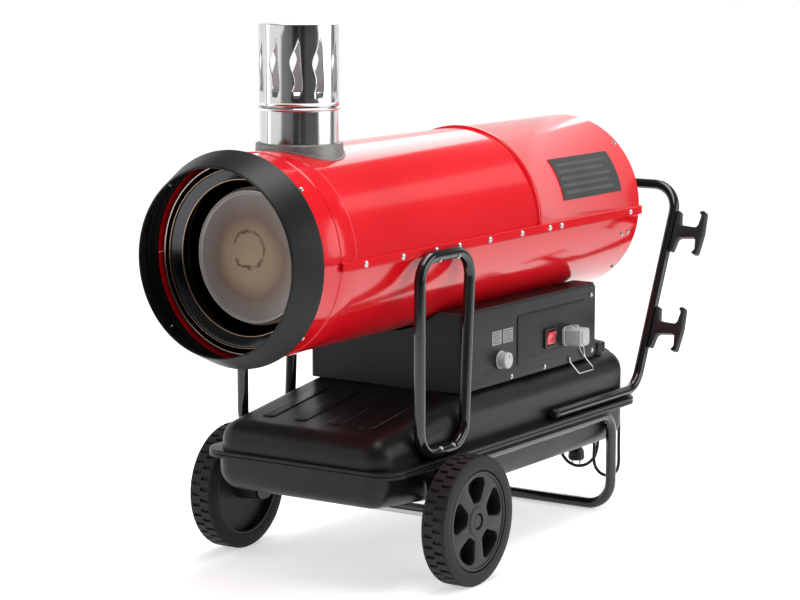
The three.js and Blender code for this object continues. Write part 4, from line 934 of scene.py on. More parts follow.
def flame_edges(rise):
    """Both edges of the slot at a share of its height: a swaying flame that narrows to its tip."""
    sway = 3.0 * math.sin(rise * 2.6 * math.pi)
    half = SLOT_WIDTH / 2 * (1 - 0.22 * math.sin(rise * math.pi * 2.4)) * min(1.0, 2.3 * (1 - rise)) ** 0.8
    return sway - half, sway + half


def cap_skin(radius):
    """The cap's wall as columns that follow the slots' edges; the cells inside a slot are left out."""
    rows = [BEAD_Z + 3.3, BEAD_Z + 12, SLOT_LOW]
    slot_rows = 28
    rows += [SLOT_LOW + SLOT_HEIGHT * k / slot_rows for k in range(1, slot_rows + 1)]
    rows += [SLOT_LOW + SLOT_HEIGHT + 8, CAP_TOP - 2, CAP_TOP - 0.6, CAP_TOP]
    inward = {CAP_TOP - 0.6: 0.6, CAP_TOP: 2.0}
    beside, within = 6, 4
    points, faces = [], []
    for z in rows:
        rise = min(max((z - SLOT_LOW) / SLOT_HEIGHT, 0.0), 1.0)
        left, right = (edge / CAP_RADIUS for edge in flame_edges(rise))
        r = radius - inward.get(z, 0.0)
        for sector in range(SLOT_COUNT):
            middle = (sector + 0.5) * SECTOR
            marks = [-SECTOR / 2 + (left + SECTOR / 2) * k / beside for k in range(beside)]
            marks += [left + (right - left) * k / within for k in range(within)]
            marks += [right + (SECTOR / 2 - right) * k / beside for k in range(beside)]
            points += [at(FLUE_X + r * math.cos(middle + m), r * math.sin(middle + m), z) for m in marks]
    per_sector = 2 * beside + within
    per_row = per_sector * SLOT_COUNT
    for row in range(len(rows) - 1):
        open_row = rows[row] >= SLOT_LOW and rows[row + 1] <= SLOT_LOW + SLOT_HEIGHT + 1e-6
        for k in range(per_row):
            if open_row and beside <= k % per_sector < beside + within:
                continue
            m = (k + 1) % per_row
            below, above = row * per_row, (row + 1) * per_row
            faces.append([below + k, below + m, above + m, above + k])
    top_ring = [(len(rows) - 1) * per_row + k for k in range(per_row)]
    return points, faces + [top_ring]


cap = piece("flue_cowl", merged(cap_skin(CAP_RADIUS), seam(CAP_RADIUS, BEAD_Z + 4, CAP_TOP - 3)),
            stainless, stands_for=("flue_cap",))
wall = cap.modifiers.new("wall", "SOLIDIFY")
wall.thickness = CAP_WALL * MM
wall.offset = -1.0
# The cap's inside gets the near-white steel: painted light for the brightness seen through the slots.
cap.data.materials.append(painted_light_steel)
wall.material_offset = 1
wall.material_offset_rim = 0
print("flue cap:", SLOT_COUNT, "slots")

# %% [markdown]
# ## Fuel tank
# The tank is moulded in two halves that are welded at a flange. A moulded half is its side view
# carried across the heater while the outline shrinks along a quarter circle at both sides. That
# rounds every edge by the same radius, which a bevel on a box with a slope would not.

# %% Fuel tank halves
TANK_HALF, TANK_ROUND = 195.0, 43.8
TANK_FRONT, TANK_REAR, TANK_TOP, TANK_NOSE, TANK_SLOPE_X = 183.0, 1130.0, 337.0, 291.0, 492.0
TANK_BOTTOM, TANK_CHIN, TANK_CHIN_X, SPLIT_Z = 141.0, 163.0, 400.0, 231.0


def shrunk(corners, inset):
    """The outline with every edge moved in, and every rounding reduced by as much."""
    count = len(corners)
    result = []
    for i, (u, v, rounding) in enumerate(corners):
        here = Vector((u, v))
        before, after = Vector(corners[i - 1][:2]), Vector(corners[(i + 1) % count][:2])
        into, on = (here - before).normalized(), (after - here).normalized()
        normals = [Vector((-d.y, d.x)) for d in (into, on)]
        middle = (normals[0] + normals[1]).normalized()
        result.append((*(here + middle * inset / middle.dot(normals[0])), max(rounding - inset, 0.01)))
    return result


def moulded(corners, keep_above):
    """A moulded half, cut at the split: its rings run from the near side to the far side."""
    steps = 10
    quarter = [math.radians(90 * k / steps) for k in range(steps, -1, -1)]
    stations = [(-(TANK_HALF - TANK_ROUND) - TANK_ROUND * math.sin(a), TANK_ROUND * (1 - math.cos(a)))
                for a in quarter]
    stations += [(-y, inset) for y, inset in reversed(stations)]
    rings = []
    for y, inset in stations:
        ring = rounded(shrunk(corners, inset), 8)
        kept = [p for p in ring if (p[1] > SPLIT_Z) == keep_above]
        first = next(i for i in range(len(ring)) if (ring[i][1] > SPLIT_Z) == keep_above and
                     (ring[i - 1][1] > SPLIT_Z) != keep_above)
        kept = [ring[(first + i) % len(ring)] for i in range(len(kept))]
        kept = [(kept[0][0], SPLIT_Z), *kept, (kept[-1][0], SPLIT_Z)]
        rings.append([at(x, y, z) for x, z in kept])
    return lofted(rings)


SPARE = 2 * TANK_ROUND                       # hidden depth past the split, so that the walls stay plumb
upper_corners = [
    (TANK_FRONT, SPLIT_Z - SPARE, TANK_ROUND), (TANK_REAR, SPLIT_Z - SPARE, TANK_ROUND),
    (TANK_REAR, TANK_TOP, TANK_ROUND), (TANK_SLOPE_X, TANK_TOP, 80), (TANK_FRONT, TANK_NOSE, TANK_ROUND)]
lower_corners = [
    (TANK_FRONT - 8, TANK_CHIN, TANK_ROUND), (TANK_CHIN_X, TANK_BOTTOM, 80),
    (TANK_REAR, TANK_BOTTOM, TANK_ROUND), (TANK_REAR, SPLIT_Z + SPARE, TANK_ROUND),
    (TANK_FRONT - 8, SPLIT_Z + SPARE, TANK_ROUND)]


def flange(z0, z1):
    outline = rectangle(172, -225, 1140, 225, 55, 14)
    strap_slot = rectangle(1131.5, COIL_Y - 5, 1135.5, COIL_Y + 5)
    return lying(plate(outline, z1 - z0, 1.6, [strap_slot]), z0)


FILLER_X, FILLER_Y = 1052, -150
RIB_X, RIB_PITCH, RIB_WIDTH, RIB_LENGTH, RIB_RISE = 246.0, 75.0, 30.0, 190.0, 2.2
top_slope = (TANK_TOP - TANK_NOSE) / (TANK_SLOPE_X - TANK_FRONT)
ribs = []
for k in range(4):
    rib = plate(rectangle(0, -RIB_WIDTH / 2, RIB_LENGTH, RIB_WIDTH / 2, 9), RIB_RISE + 3, 1.8)
    foot = at(RIB_X, (k - 1.5) * RIB_PITCH, TANK_NOSE + (RIB_X - TANK_FRONT) * top_slope - 3)
    ribs.append(placed(rib, foot, (1, 0, top_slope), (0, 1, 0)))
neck = turned([(333, 17), (333, 20), (344, 20), (344, 17)], "Z", (FILLER_X, FILLER_Y), 48)
piece("tank_top", merged(moulded(upper_corners, True), flange(SPLIT_Z, 238), *ribs, neck),
      tank_plastic, stands_for=("tank_upper",))
piece("tank_base", merged(moulded(lower_corners, False), flange(224, SPLIT_Z - GAP)),
      tank_plastic, stands_for=("tank_lower",))

# %% [markdown]
# The fuel cap has eight lobes for the fingers and a grip bar across its top. The lobes are one
# rounded outline, and a turned disc lies on them. The cap rides on its own body, because it turns.

# %% Fuel cap
LOBES = 8
lobes = []
for k in range(LOBES):
    for share, radius in ((0.2, 27), (0.8, 27), (0.9, 24), (1.1, 24)):
        angle = math.tau * (k + share) / LOBES
        lobes.append((FILLER_X + radius * math.cos(angle), FILLER_Y + radius * math.sin(angle), 1.2))
cap_form = merged(
    lying(plate(rounded(lobes, 3), 20.5, 2.2), 338.5),
    turned(rounded([(358, 0), (358, 19), (361, 16, 1.5), (361, 0)], 4), "Z", (FILLER_X, FILLER_Y), 56),
    lying(plate(rectangle(FILLER_X - 15, FILLER_Y - 4, FILLER_X + 15, FILLER_Y + 4, 3.5), 2.6, 1.0), 359.5))
piece("filler_cap", cap_form, black_plastic, "fuel_cap", ("fuel_cap",))

# %% [markdown]
# ## Control panel
# The panel is a flat sheet on the housing's side with a raised field for the switch and the socket.
# Two small grey stickers with ruled lines sit beside the thermostat. All of them are thin plates.

# %% Panel, stickers and screws
PANEL_FACE, FIELD_FACE = -181.8, -183.6
panel_holes = [circle(622, 385, 5, 24)]
panel = facing_near(plate(rectangle(485, 340.3, 1005, 491, 8), 1.5, 0.4, panel_holes), PANEL_FACE + 1.5)
field_holes = [rectangle(791.5, 385.5, 832.5, 420.5), rectangle(867, 383, 901, 413)]
raised = facing_near(plate(rectangle(687, 363.3, 962, 464, 9), 2.2, 1.2, field_holes), FIELD_FACE + 2.2)
piece("panel_sheet", merged(panel, raised), satin_black, stands_for=("control_panel",))
PANEL_SCREWS = ((666, 345), (796, 345), (992, 352), (987, 470), (497, 470))
panel_screws = [screw(at(x, PANEL_FACE, z), (0, -1, 0), 3.8) for x, z in PANEL_SCREWS]
piece("panel_screws", merged(*panel_screws), bright_steel)
patches = [(591, 416, 627, 444), (632, 416, 670, 444)]
piece("panel_stickers", merged(*[facing_near(plate(rectangle(*patch, 1.5), 0.4, 0.12), PANEL_FACE - 0.05)
                                 for patch in patches]), sticker)
rules = []
for x0, z0, x1, z1 in patches:
    for row in range(5):
        z = z1 - 4.5 - row * 4.8
        rule = rectangle(x0 + 4, z - 0.8, x1 - 4 - 5 * (row % 2), z + 0.8, 0.3, 2)
        rules.append(facing_near(plate(rule, 0.2, 0.08), PANEL_FACE - 0.42))
piece("sticker_rules", merged(*rules), sticker_ink)

# %% [markdown]
# The knob has twelve flats and turns on its own body, the rocker tilts in its frame, and the room
# thermostat's plug sits in a socket of the same light grey. Each rides on the body that moves it.

# %% Knob, switch and socket
KNOB_X, KNOB_Z, KNOB_RADIUS = 622.0, 385.0, 16.5
knob_back = PANEL_FACE - 0.8
knob_form = merged(
    facing_near(plate(circle(KNOB_X, KNOB_Z, KNOB_RADIUS, 12), 18, 1.6), knob_back - 2),
    turned(rounded([(knob_back, 0), (knob_back, 18, 0.6), (knob_back - 3, 18, 1.0), (knob_back - 3, 0)], 3),
           "Y", (KNOB_X, KNOB_Z), 56),
    facing_near(plate(circle(KNOB_X, KNOB_Z, 12.5, 48), 0.8, 0.3), knob_back - 19.6))
piece("knob", knob_form, grey_plastic, "thermostat_knob", ("thermostat_knob",))
pointer = plate(rectangle(KNOB_X - 1, KNOB_Z + 4, KNOB_X + 1, KNOB_Z + 12, 0.8), 0.5, 0.15)
piece("knob_mark", facing_near(pointer, knob_back - 20.2), sticker_ink, "thermostat_knob")

SWITCH_X, SWITCH_Z = 812.0, 403.0


def round_switch(half_x, half_z, rounding):
    """A rounded rectangle about the switch's middle."""
    return rectangle(SWITCH_X - half_x, SWITCH_Z - half_z, SWITCH_X + half_x, SWITCH_Z + half_z, rounding)


frame_hole = round_switch(16.7, 14.8, 1.0)
bezel = merged(facing_near(plate(round_switch(23, 20, 3), 4, 1.2, [frame_hole]), FIELD_FACE - GAP),
               facing_near(plate(round_switch(20, 17, 1), 23, 0.5, [frame_hole]), FIELD_FACE + 22))
piece("switch_frame", bezel, black_plastic, stands_for=("switch_bezel",))
tilt = math.radians(9)
rocker_section = rounded([
    (-7, 13, 2), (-4.2, 0, 18), (-7, -13, 2), (1, -13, 1), (7, -8, 1), (7, 8, 1), (1, 13, 1)], 5)
rocker_y = FIELD_FACE - GAP
rocker_stations = ((SWITCH_X - 16, 0.93), (SWITCH_X - 15.2, 1.0),
                   (SWITCH_X + 15.2, 1.0), (SWITCH_X + 16, 0.93))
rocker_rings = [[at(x, rocker_y + out * s * math.cos(tilt) - up * s * math.sin(tilt),
                    SWITCH_Z + out * s * math.sin(tilt) + up * s * math.cos(tilt))
                 for out, up in rocker_section] for x, s in rocker_stations]
piece("rocker", lofted(rocker_rings), red_plastic, "power_rocker", ("power_rocker",))

SOCKET_X, SOCKET_Z = 884.0, 398.0
corner = 7.0
socket_outline = rounded([
    (SOCKET_X - 22 + corner, SOCKET_Z - 20, 1), (SOCKET_X + 22 - corner, SOCKET_Z - 20, 1),
    (SOCKET_X + 22, SOCKET_Z - 20 + corner, 1), (SOCKET_X + 22, SOCKET_Z + 20 - corner, 1),
    (SOCKET_X + 22 - corner, SOCKET_Z + 20, 1), (SOCKET_X - 22 + corner, SOCKET_Z + 20, 1),
    (SOCKET_X - 22, SOCKET_Z + 20 - corner, 1), (SOCKET_X - 22, SOCKET_Z - 20 + corner, 1)], 2)
well = circle(SOCKET_X, SOCKET_Z, 12.5, 48)
socket_form = merged(facing_near(plate(socket_outline, 6, 1.0, [well]), FIELD_FACE - GAP),
                     facing_near(plate(rectangle(867.5, 383.5, 900.5, 412.5, 3), 19, 0.5, [well]),
                                 FIELD_FACE + 19))
piece("socket_body", socket_form, grey_plastic, stands_for=("socket_base",))
plug_face = FIELD_FACE - GAP - 6 - GAP


def plug_block(x0, z0, x1, z1, rounding, depth, edge, start):
    """A block of the plug, drawn about the socket's middle, that stands out from `start`."""
    outline = rectangle(SOCKET_X + x0, SOCKET_Z + z0, SOCKET_X + x1, SOCKET_Z + z1, rounding)
    return facing_near(plate(outline, depth, edge), start)


plug_body = merged(
    plug_block(-19, -18, 19, 18, 6, 36, 1.6, plug_face),
    plug_block(-14, -14, 14, 14, 4, 3.4, 1.2, plug_face - 35.6),
    *[plug_block(x - 4, 16, x + 4, 21.5, 1.5, 12, 0.8, plug_face - 2) for x in (-11, 10)],
    *[plug_block(-19.6, z - 1.2, 19.6, z + 1.2, 1, 20, 0.8, plug_face - 12) for z in (-12, -6, 0, 6, 12)],
    turned([(plug_face + 12, 0), (plug_face + 12, 11.8), (plug_face - 1, 11.8), (plug_face - 1, 0)],
           "Y", (SOCKET_X, SOCKET_Z), 40))
piece("thermostat_plug", plug_body, grey_plastic, "socket_plug", ("socket_plug",))

# %% [markdown]
# A bent wire below the plug hooks over it and holds it in. A second, thinner wire hangs beside it.

# %% Wire clip
HOUSING_Z = TANK_TOP + GAP
clip_y, clip_low, clip_z = PANEL_FACE - GAP - 1.6, -TANK_HALF - 2.2, HOUSING_Z - 22
clip_stops = bent([
    (SOCKET_X + 10, clip_y, HOUSING_Z + 14), (SOCKET_X + 14, clip_y, HOUSING_Z + 2.5, 4),
    (SOCKET_X + 28, clip_low, clip_z, 5), (SOCKET_X + 93, clip_low, clip_z, 5),
    (SOCKET_X + 78, clip_y, HOUSING_Z + 2.5, 4), (SOCKET_X + 72, clip_y, HOUSING_Z + 13)], 6)
wire_y = FIELD_FACE - GAP - 1
wire_stops = bent([
    (SOCKET_X + 42, wire_y, SOCKET_Z - 13), (SOCKET_X + 52, wire_y, SOCKET_Z - 36, 8),
    (SOCKET_X + 73, wire_y, HOUSING_Z + 2, 1.6), (SOCKET_X + 63, wire_y, SOCKET_Z - 11)], 6)
piece("spring_clip", merged(swept(clip_stops, 1.5, 14), swept(wire_stops, 0.9, 12)), bright_steel,
      stands_for=("wire_clip",))

# %% [markdown]
# ## Tube frame
# Four bent tubes carry everything: the undercarriage with its rear leg, a guard loop on each side
# and the push handle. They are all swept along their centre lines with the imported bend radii.

# %% Tubes
TUBE = 11.0
SIDE_Y = BARREL_RADIUS + LIP_REACH + GAP + TUBE
RAIL_Z = SPLIT_Z - 7 - GAP - TUBE
SEAT_Z = SPLIT_Z + 7 + GAP + TUBE
LEG_X, HANDLE_BEND_X, HANDLE_TOP_Z, LEAN = 1036.0, 1140.0, 671.0, math.radians(24.5)
RAIL_FRONT_X, GRIP_FRONT_X, GRIP_BEND = 330, 801, 62
LOOP_FRONT_X, LOOP_REAR_X, LOOP_FOOT_X, LOOP_TOP_Z, LOOP_BEND = 293, 470, 447, 623, 48
HANDLE_TOP_X = HANDLE_BEND_X + (HANDLE_TOP_Z - SEAT_Z) * math.tan(LEAN)
undercarriage = bent([
    (RAIL_FRONT_X, -SIDE_Y, RAIL_Z), (LEG_X, -SIDE_Y, RAIL_Z, 45), (LEG_X, -SIDE_Y, TUBE, 55),
    (LEG_X, SIDE_Y, TUBE, 55), (LEG_X, SIDE_Y, RAIL_Z, 45), (RAIL_FRONT_X, SIDE_Y, RAIL_Z)])
piece("undercarriage", swept(undercarriage, TUBE), gloss_black, stands_for=("undercarriage_tube",))
for side, label in zip(near_far, ("near", "far")):
    side_y = side * SIDE_Y
    middle = (LOOP_FRONT_X + LOOP_REAR_X) / 2
    loop = bent([(middle - GAP, side_y, LOOP_TOP_Z), (LOOP_FRONT_X, side_y, LOOP_TOP_Z, LOOP_BEND),
                 (LOOP_FRONT_X, side_y, SEAT_Z, LOOP_BEND), (LOOP_FOOT_X, side_y, SEAT_Z, LOOP_BEND),
                 (LOOP_REAR_X, side_y, LOOP_TOP_Z, LOOP_BEND), (middle + GAP, side_y, LOOP_TOP_Z)])
    piece(f"guard_loop_{label}", swept(loop, TUBE), gloss_black, stands_for=(f"side_loop_{label}",))
    bolts = [screw(at(x, side * (SIDE_Y + 8.2), LOOP_TOP_Z - 7.2), (0, side, -0.9), 3.6) for x in (349, 414)]
    bolts += [screw(at(x, side * (SIDE_Y + 8.2), SEAT_Z + 7.2), (0, side, 0.9), 3.6) for x in (355, 398)]
    piece(f"loop_bolts_{label}", merged(*bolts), bright_steel)
handle = bent([
    (GRIP_FRONT_X, -SIDE_Y, SEAT_Z), (HANDLE_BEND_X, -SIDE_Y, SEAT_Z, GRIP_BEND),
    (HANDLE_TOP_X, -SIDE_Y, HANDLE_TOP_Z, GRIP_BEND), (HANDLE_TOP_X, SIDE_Y, HANDLE_TOP_Z, GRIP_BEND),
    (HANDLE_BEND_X, SIDE_Y, SEAT_Z, GRIP_BEND), (GRIP_FRONT_X, SIDE_Y, SEAT_Z)])
piece("handle_tube", swept(handle, TUBE), gloss_black, stands_for=("push_handle",))

# %% [markdown]
# Two anchor-shaped hooks on the handle's near leg take the wound lead. Each is one rounded outline
# with a stem and two arms, cut as a thick plate and turned along the leaning tube.

# %% Cord hooks
up = Vector((math.sin(LEAN), 0, math.cos(LEAN)))
for label, height in (("upper", 575.0), ("lower", 376.0)):
    half, reach, foot_y = 46.0, 84.0, TUBE + GAP
    corners = [
        (-half, foot_y, 1), (half, foot_y, 1), (half, foot_y + 8, 4), (14, foot_y + 14, 10),
        (11, reach - 16, 8), (half - 8, reach - 12, 6), (half + 2, reach - 20, 3), (half + 4, reach - 4, 6),
        (0, reach, 40), (-half - 4, reach - 4, 6), (-half - 2, reach - 20, 3), (-half + 8, reach - 12, 6),
        (-11, reach - 16, 8), (-14, foot_y + 14, 10), (-half, foot_y + 8, 4)]
    origin = at(HANDLE_BEND_X + (height - SEAT_Z) * math.tan(LEAN), -SIDE_Y, height)
    across = up.cross(Vector((0, -1, 0)))
    hook = placed(plate(rounded(corners, 5), 18, 2.6), origin - across * 9 * MM, up, (0, -1, 0))
    piece(f"hook_{label}", hook, black_plastic, stands_for=(f"cord_hook_{label}",))

# %% [markdown]
# ## Wheels
# A solid rubber tyre with two staggered rows of blocks sits on a moulded rim with five pockets. One
# block is a small chamfered wedge that reaches over the shoulder, and it is repeated round the tyre.

# %% Wheels
AXLE_X, WHEEL_RADIUS, WHEEL_OUTER, WHEEL_WIDTH, RIM_RADIUS = 359.0, 125.0, 298.5, 53.0, 97.2
BLOCKS = 36
POCKET_ANGLE = 94.0                         # the wheels can stand at any angle


def on_wheel(radius, angle, y):
    return at(AXLE_X + radius * math.cos(angle), y, WHEEL_RADIUS + radius * math.sin(angle))


def block(angle, y_outer, y_inner):
    """One tread block, from the shoulder to the tyre's middle, with chamfered edges."""
    layers = [(116.0, 0.46, 0.0), (121.0, 0.45, 0.0), (124.2, 0.42, 0.8), (WHEEL_RADIUS, 0.39, 1.8)]
    rings = []
    for radius, share, inset in layers:
        half = share * math.tau / BLOCKS * 0.85
        outer = y_outer + inset * math.copysign(1, y_inner - y_outer)
        inner = y_inner - inset * 0.6 * math.copysign(1, y_inner - y_outer)
        rings.append([on_wheel(radius, angle - half, outer), on_wheel(radius, angle + half, outer),
                      on_wheel(radius, angle + half, inner), on_wheel(radius, angle - half, inner)])
    return lofted(rings)


y_face = -WHEEL_OUTER
y_mid = y_face + WHEEL_WIDTH / 2
y_back = y_face + WHEEL_WIDTH
carcass = turned(rounded([
    (y_face + 1.2, RIM_RADIUS + GAP), (y_face + 0.3, 108, 4), (y_face + 1.6, 123.4, 2.4),
    (y_face + 8, 123.4, 1), (y_face + 9.5, 120.4), (y_back - 9.5, 120.4), (y_back - 8, 123.4, 1),
    (y_back - 1.6, 123.4, 2.4),
    (y_back - 0.3, 108, 4), (y_back - 1.2, RIM_RADIUS + GAP)], 4), "Y", (AXLE_X, WHEEL_RADIUS), 144)
tread = [block(math.tau * (k + turn) / BLOCKS, outer, inner) for k in range(BLOCKS)
         for turn, outer, inner in ((0.36, y_face + 3.4, y_mid + 1.5), (0.86, y_back - 3.4, y_mid - 1.5))]
tyre_form = merged(carcass, *tread)

pockets = []
for k in range(5):
    middle = math.radians(POCKET_ANGLE + 72 * k)
    outline = [(38, -0.3, 7), (84, -0.42, 11), (88, 0.0, 60), (84, 0.42, 11), (38, 0.3, 7)]
    pocket = [(AXLE_X + r * math.cos(middle + a), WHEEL_RADIUS + r * math.sin(middle + a), rounding)
              for r, a, rounding in outline]
    pockets.append(rounded(pocket, 5))
wheel_face = y_face + 2
hub_hole = circle(AXLE_X, WHEEL_RADIUS, 16, 48)
spoke_plate = plate(circle(AXLE_X, WHEEL_RADIUS, 93, 96), 30, 1.8, [*pockets, hub_hole])
spokes = facing_near(spoke_plate, wheel_face + 31.5)
HUB_BACK, AXLE_BORE = -210.1, 7.6
rim_section = rounded([
    (wheel_face, 90, 0.8), (wheel_face - 0.3, 94, 1.5), (wheel_face + 3, RIM_RADIUS, 1.5),
    (y_back - 1.5, RIM_RADIUS, 1), (y_back - 1.5, 92), (wheel_face + 34, 92), (wheel_face + 34, 26),
    (HUB_BACK, 22, 1), (HUB_BACK, AXLE_BORE), (wheel_face + 28, AXLE_BORE), (wheel_face + 28, 90)], 3)
boss_section = rounded([
    (wheel_face + 30, 16), (wheel_face + 30, 30), (wheel_face, 30, 2), (wheel_face, 15.8, 1)], 4)
hub_boss = turned(boss_section, "Y", (AXLE_X, WHEEL_RADIUS), 64)
rim_form = merged(spokes, turned(rim_section, "Y", (AXLE_X, WHEEL_RADIUS), 112), hub_boss)
cap_section = rounded([
    (wheel_face + 1.5, 0), (wheel_face + 1.5, 11, 2.5), (wheel_face + 3.5, 15, 1),
    (wheel_face + 7.7, 15), (wheel_face + 7.7, 0)], 4)
cap_cover = turned(cap_section, "Y", (AXLE_X, WHEEL_RADIUS), 56)
for label, turn_over in (("near", lambda form: form), ("far", mirrored)):
    body = f"wheel_{label}"
    piece(f"tyre_{label}", turn_over(tyre_form), tyre, body, (f"wheel_tyre_{label}",), 25)
    piece(f"rim_{label}", turn_over(rim_form), black_plastic, body, (f"wheel_rim_{label}",))
    piece(f"hub_cover_{label}", turn_over(cap_cover), black_plastic, body, (f"hub_cap_{label}",))
print("tread blocks:", 4 * BLOCKS)

# %% [markdown]
# ## Rear guard
# Behind the fan a wire guard of concentric rings on spokes lets the air in and keeps fingers out.

# %% Rear guard
GUARD_X, GUARD_SPOKES = 1173, 8
wire = [math.tau * k / 8 for k in range(8)]
guard = [on_axis([(GUARD_X + math.sin(a), r + math.cos(a)) for a in wire], 96) for r in range(24, 186, 11)]
guard_edge = rounded([(GUARD_X - 1.4, 182), (GUARD_X - 1.4, 186.5, 0.6), (GUARD_X + 1.4, 186.5, 0.6),
                      (GUARD_X + 1.4, 182)], 2)
guard.append(on_axis(guard_edge, 128))
guard.append(on_axis([(GUARD_X - 1, 0), (GUARD_X - 1, 25), (GUARD_X + 1, 25), (GUARD_X + 1, 0)], 48))
for k in range(GUARD_SPOKES):
    angle = math.tau * (k + 0.5) / GUARD_SPOKES
    ends = [at(GUARD_X, r * math.cos(angle), AXIS_Z + r * math.sin(angle)) for r in (20, 184)]
    guard.append(swept(ends, 1.2, 10))
piece("rear_guard", merged(*guard), gloss_black, stands_for=("rear_grille",))

# %% [markdown]
# ## Pieces that keep their packed form
# The housing, the axle parts and all that lies inside the barrel are right as they are. They get a
# finish and a node group that shades their rounded stretches smooth and keeps their edges sharp.

# %% Smooth shading by angle
def shading_group(limit=40):
    group = bpy.data.node_groups.new("smooth_by_angle", "GeometryNodeTree")
    group.interface.new_socket("Geometry", in_out="INPUT", socket_type="NodeSocketGeometry")
    group.interface.new_socket("Geometry", in_out="OUTPUT", socket_type="NodeSocketGeometry")
    enter, leave = group.nodes.new("NodeGroupInput"), group.nodes.new("NodeGroupOutput")
    angle = group.nodes.new("GeometryNodeInputMeshEdgeAngle")
    above = group.nodes.new("FunctionNodeCompare")
    above.data_type, above.operation = "FLOAT", "GREATER_THAN"
    above.inputs["B"].default_value = math.radians(limit)
    faces, edges = (group.nodes.new("GeometryNodeSetShadeSmooth") for _ in range(2))
    faces.domain, edges.domain = "FACE", "EDGE"
    edges.inputs["Shade Smooth"].default_value = False
    link = group.links.new
    link(enter.outputs[0], faces.inputs["Geometry"])
    link(faces.outputs[0], edges.inputs["Geometry"])
    link(angle.outputs["Unsigned Angle"], above.inputs["A"])
    link(above.outputs[0], edges.inputs["Selection"])
    link(edges.outputs[0], leave.inputs[0])
    return group


smooth_by_angle = shading_group()
kept_nodes = {
    satin_black: ("control_housing",),
    stainless: ("burner_tube",),
    brass: ("burner_nozzle", "fuel_line"),
    ceramic: ("ignition_electrodes",),
    galvanised: ("burner_blower", "fuel_pump", "fuel_filter", "fan_motor", "motor_bracket", "fan",
                 "drain_plug"),
    grey_plastic: ("control_box",),
    gloss_black: ("axle_bracket_near", "axle_bracket_far", "axle_beam"),
    bright_steel: ("axle_rod",),
    black_plastic: ("ignition_transformer", "handle_cap_near", "handle_cap_far", "cord_tie"),
}
for material, names in kept_nodes.items():
    for name in names:
        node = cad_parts[name]
        node.data.materials.clear()
        node.data.materials.append(material)
        node.modifiers.new("shading", "NODES").node_group = smooth_by_angle
print("pieces that keep their packed form:", sum(len(names) for names in kept_nodes.values()))

# %% [markdown]
# ## Rear plate
# A thin dark plate with five ruled bands lies on the barrel above its near seam. A flat plate would
# stand off the barrel at its edges, so both are bent to the barrel's radius.

# %% Rear plate
def on_barrel(x0, x1, low, high, lift, thick):
    """A thin sheet that lies on the barrel between two angles above the near seam."""
    steps = 20
    rings = []
    for x in (x0, x1):
        arcs = []
        for radius in (BARREL_RADIUS + lift, BARREL_RADIUS + lift + thick):
            arc = [math.radians(low + (high - low) * k / steps) for k in range(steps + 1)]
            arcs.append([at(x, -radius * math.cos(a), AXIS_Z + radius * math.sin(a)) for a in arc])
        rings.append(arcs[0] + arcs[1][::-1])
    return lofted(rings)


piece("data_plate", on_barrel(866, 1108, 12, 40, 0.2, 0.5), sticker_dark)
bands = [on_barrel(878, 1084 - 22 * (k % 2), 15.5 + 4.6 * k, 17.6 + 4.6 * k, 0.7, 0.2) for k in range(5)]
piece("data_plate_bands", merged(*bands), sticker_ink)

# %% [markdown]
# ## Studio
# A white floor runs under the heater. The lamps light it like everything else, and it adds a little
# white of its own for the camera and for reflections. So it reads as white and keeps its shadow. The
# world does the same: it is white where it is seen, and lights the heater more weakly than that.

# %% Floor and world
def level_square(name, half, up=1):
    """A level square about the frame's origin. Its face looks up, or down with -1."""
    corners = [(-half, -half, 0), (half, -half, 0), (half, half, 0), (-half, half, 0)]
    mesh = bpy.data.meshes.new(name)
    mesh.from_pydata(corners, [], [[0, 1, 2, 3][::up]])
    return shown(name, mesh)


def cleared_tree(owner):
    owner.use_nodes = True
    owner.node_tree.nodes.clear()
    return Wire(owner.node_tree)


def seen(root):
    """1 for rays from the camera, off shiny surfaces and through clear ones, and 0 for all others."""
    straight, mirrored_ray, through = (root.node("ShaderNodeLightPath", output=f"Is {kind} Ray")
                                       for kind in ("Camera", "Glossy", "Transmission"))
    return straight + mirrored_ray + through


FLOOR_HALF, FLOOR_DROP, FLOOR_GLOW = 30.0, 0.0002, 0.5
WORLD_LIGHT, WORLD_SEEN = 0.62, 0.38
floor = level_square("floor", FLOOR_HALF)
floor.location.z = -FLOOR_DROP
floor_paint = bpy.data.materials.new("floor_white")
floor_root = cleared_tree(floor_paint)
matt = floor_root.node("ShaderNodeBsdfDiffuse", {}, {"Color": rgb(0.86, 0.86, 0.86)}, "BSDF")
glow = floor_root.node("ShaderNodeEmission", {}, {"Strength": seen(floor_root) * FLOOR_GLOW}, "Emission")
both = floor_root.node("ShaderNodeAddShader", {}, {0: matt, 1: glow}, "Shader")
floor_root.node("ShaderNodeOutputMaterial", {}, {"Surface": both}, None)
floor.data.materials.append(floor_paint)

world = bpy.data.worlds.new("studio")
bpy.context.scene.world = world
world_root = cleared_tree(world)
strength = WORLD_LIGHT + seen(world_root) * WORLD_SEEN
sky = world_root.node("ShaderNodeBackground", {}, {"Color": rgb(1.0, 1.0, 1.0), "Strength": strength},
                      "Background")
world_root.node("ShaderNodeOutputWorld", {}, {"Surface": sky}, None)
print("floor", 2 * FLOOR_HALF, "m wide, world light", WORLD_LIGHT)

# %% [markdown]
# Four large soft lamps light the heater: one from above, one on the outlet's side, one on the near
# side and a weaker one from the rear. Large lamps give wide, soft highlights on the enamel.

# %% Lamps
def lamp(name, place, aim, width, height, power):
    data = bpy.data.lights.new(name, "AREA")
    data.shape = "RECTANGLE"
    data.size, data.size_y, data.energy = width, height, power
    made = shown(name, data)
    made.location = place
    made.rotation_euler = (Vector(aim) - Vector(place)).to_track_quat("-Z", "Y").to_euler()
    print("lamp", name, power, "W")


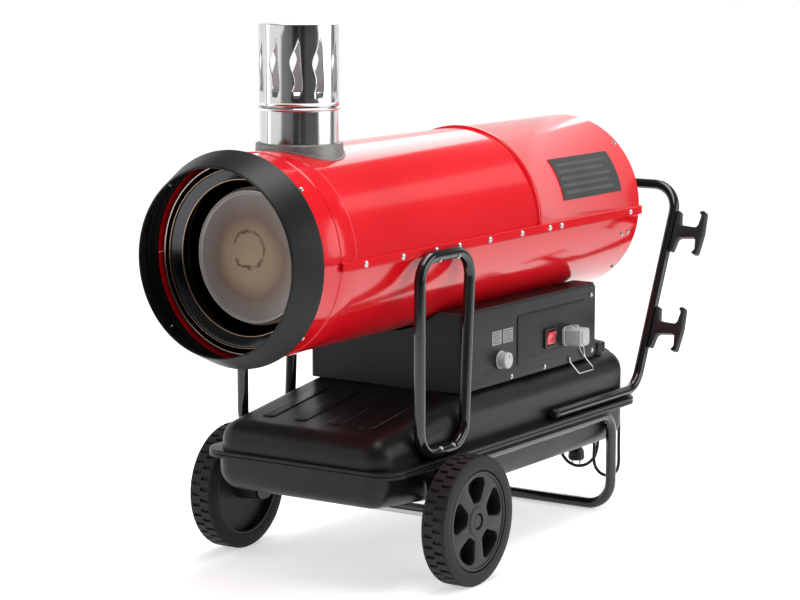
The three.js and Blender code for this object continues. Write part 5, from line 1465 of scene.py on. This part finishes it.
middle_of_heater = (0.0, 0.0, 0.5)
lamp("overhead", (0.1, -0.3, 3.3), middle_of_heater, 3.2, 1.4, 80.0)
lamp("front", (-3.2, 2.4, 1.6), middle_of_heater, 4.6, 2.6, 31.0)
lamp("near_side", (1.4, -3.6, 1.6), middle_of_heater, 3.4, 2.4, 64.0)
lamp("rear", (2.8, 1.6, 2.4), middle_of_heater, 1.6, 1.6, 18.0)

# %% [markdown]
# Polished steel and black paint show their surroundings. Tall cards stand round the camera, and a
# grey ceiling hangs over them. The darkest give the flue the upright bands that make it read as
# metal. Only reflections see them, so they dim nothing else.

# %% Cards and ceiling
CARD_FAR, CARD_HIGH, CARD_STEPS, CEILING_HALF, CEILING_Z = 4.6, 3.4, 8, 5.0, 3.6


def reflected_only(made, paint):
    made.data.materials.append(paint)
    made.visible_camera = made.visible_diffuse = made.visible_shadow = False


def card(name, start, end, tone):
    """An upright card on a wide circle round the heater, between two compass angles."""
    arc = [math.radians(start + (end - start) * k / CARD_STEPS) for k in range(CARD_STEPS + 1)]
    points = [(CARD_FAR * math.cos(a), CARD_FAR * math.sin(a), z) for a in arc for z in (0.0, CARD_HIGH)]
    mesh = bpy.data.meshes.new(name)
    mesh.from_pydata(points, [], [[2 * k, 2 * k + 1, 2 * k + 3, 2 * k + 2] for k in range(CARD_STEPS)])
    paint = bpy.data.materials.new(name)
    paint.use_nodes = True
    sockets = paint.node_tree.nodes["Principled BSDF"].inputs
    sockets["Base Color"].default_value = rgb(tone, tone, tone)
    sockets["Roughness"].default_value = 0.9
    reflected_only(shown(name, mesh), paint)
    return paint


card("card_grey_left", 128, 184, 0.20)
card("card_left", 184, 196, 0.16)
card("card_black", 196, 212, 0.006)
card("card_warm", 212, 216, 0.09)
card("card_black_right", 216, 228, 0.006)
card("card_right", 228, 266, 0.07)
grey_card = card("card_grey_right", 266, 335, 0.16)
ceiling = level_square("ceiling", CEILING_HALF, -1)
ceiling.location.z = CEILING_Z
reflected_only(ceiling, grey_card)
print("cards from 128 to 335 degrees, ceiling at", CEILING_Z, "m")
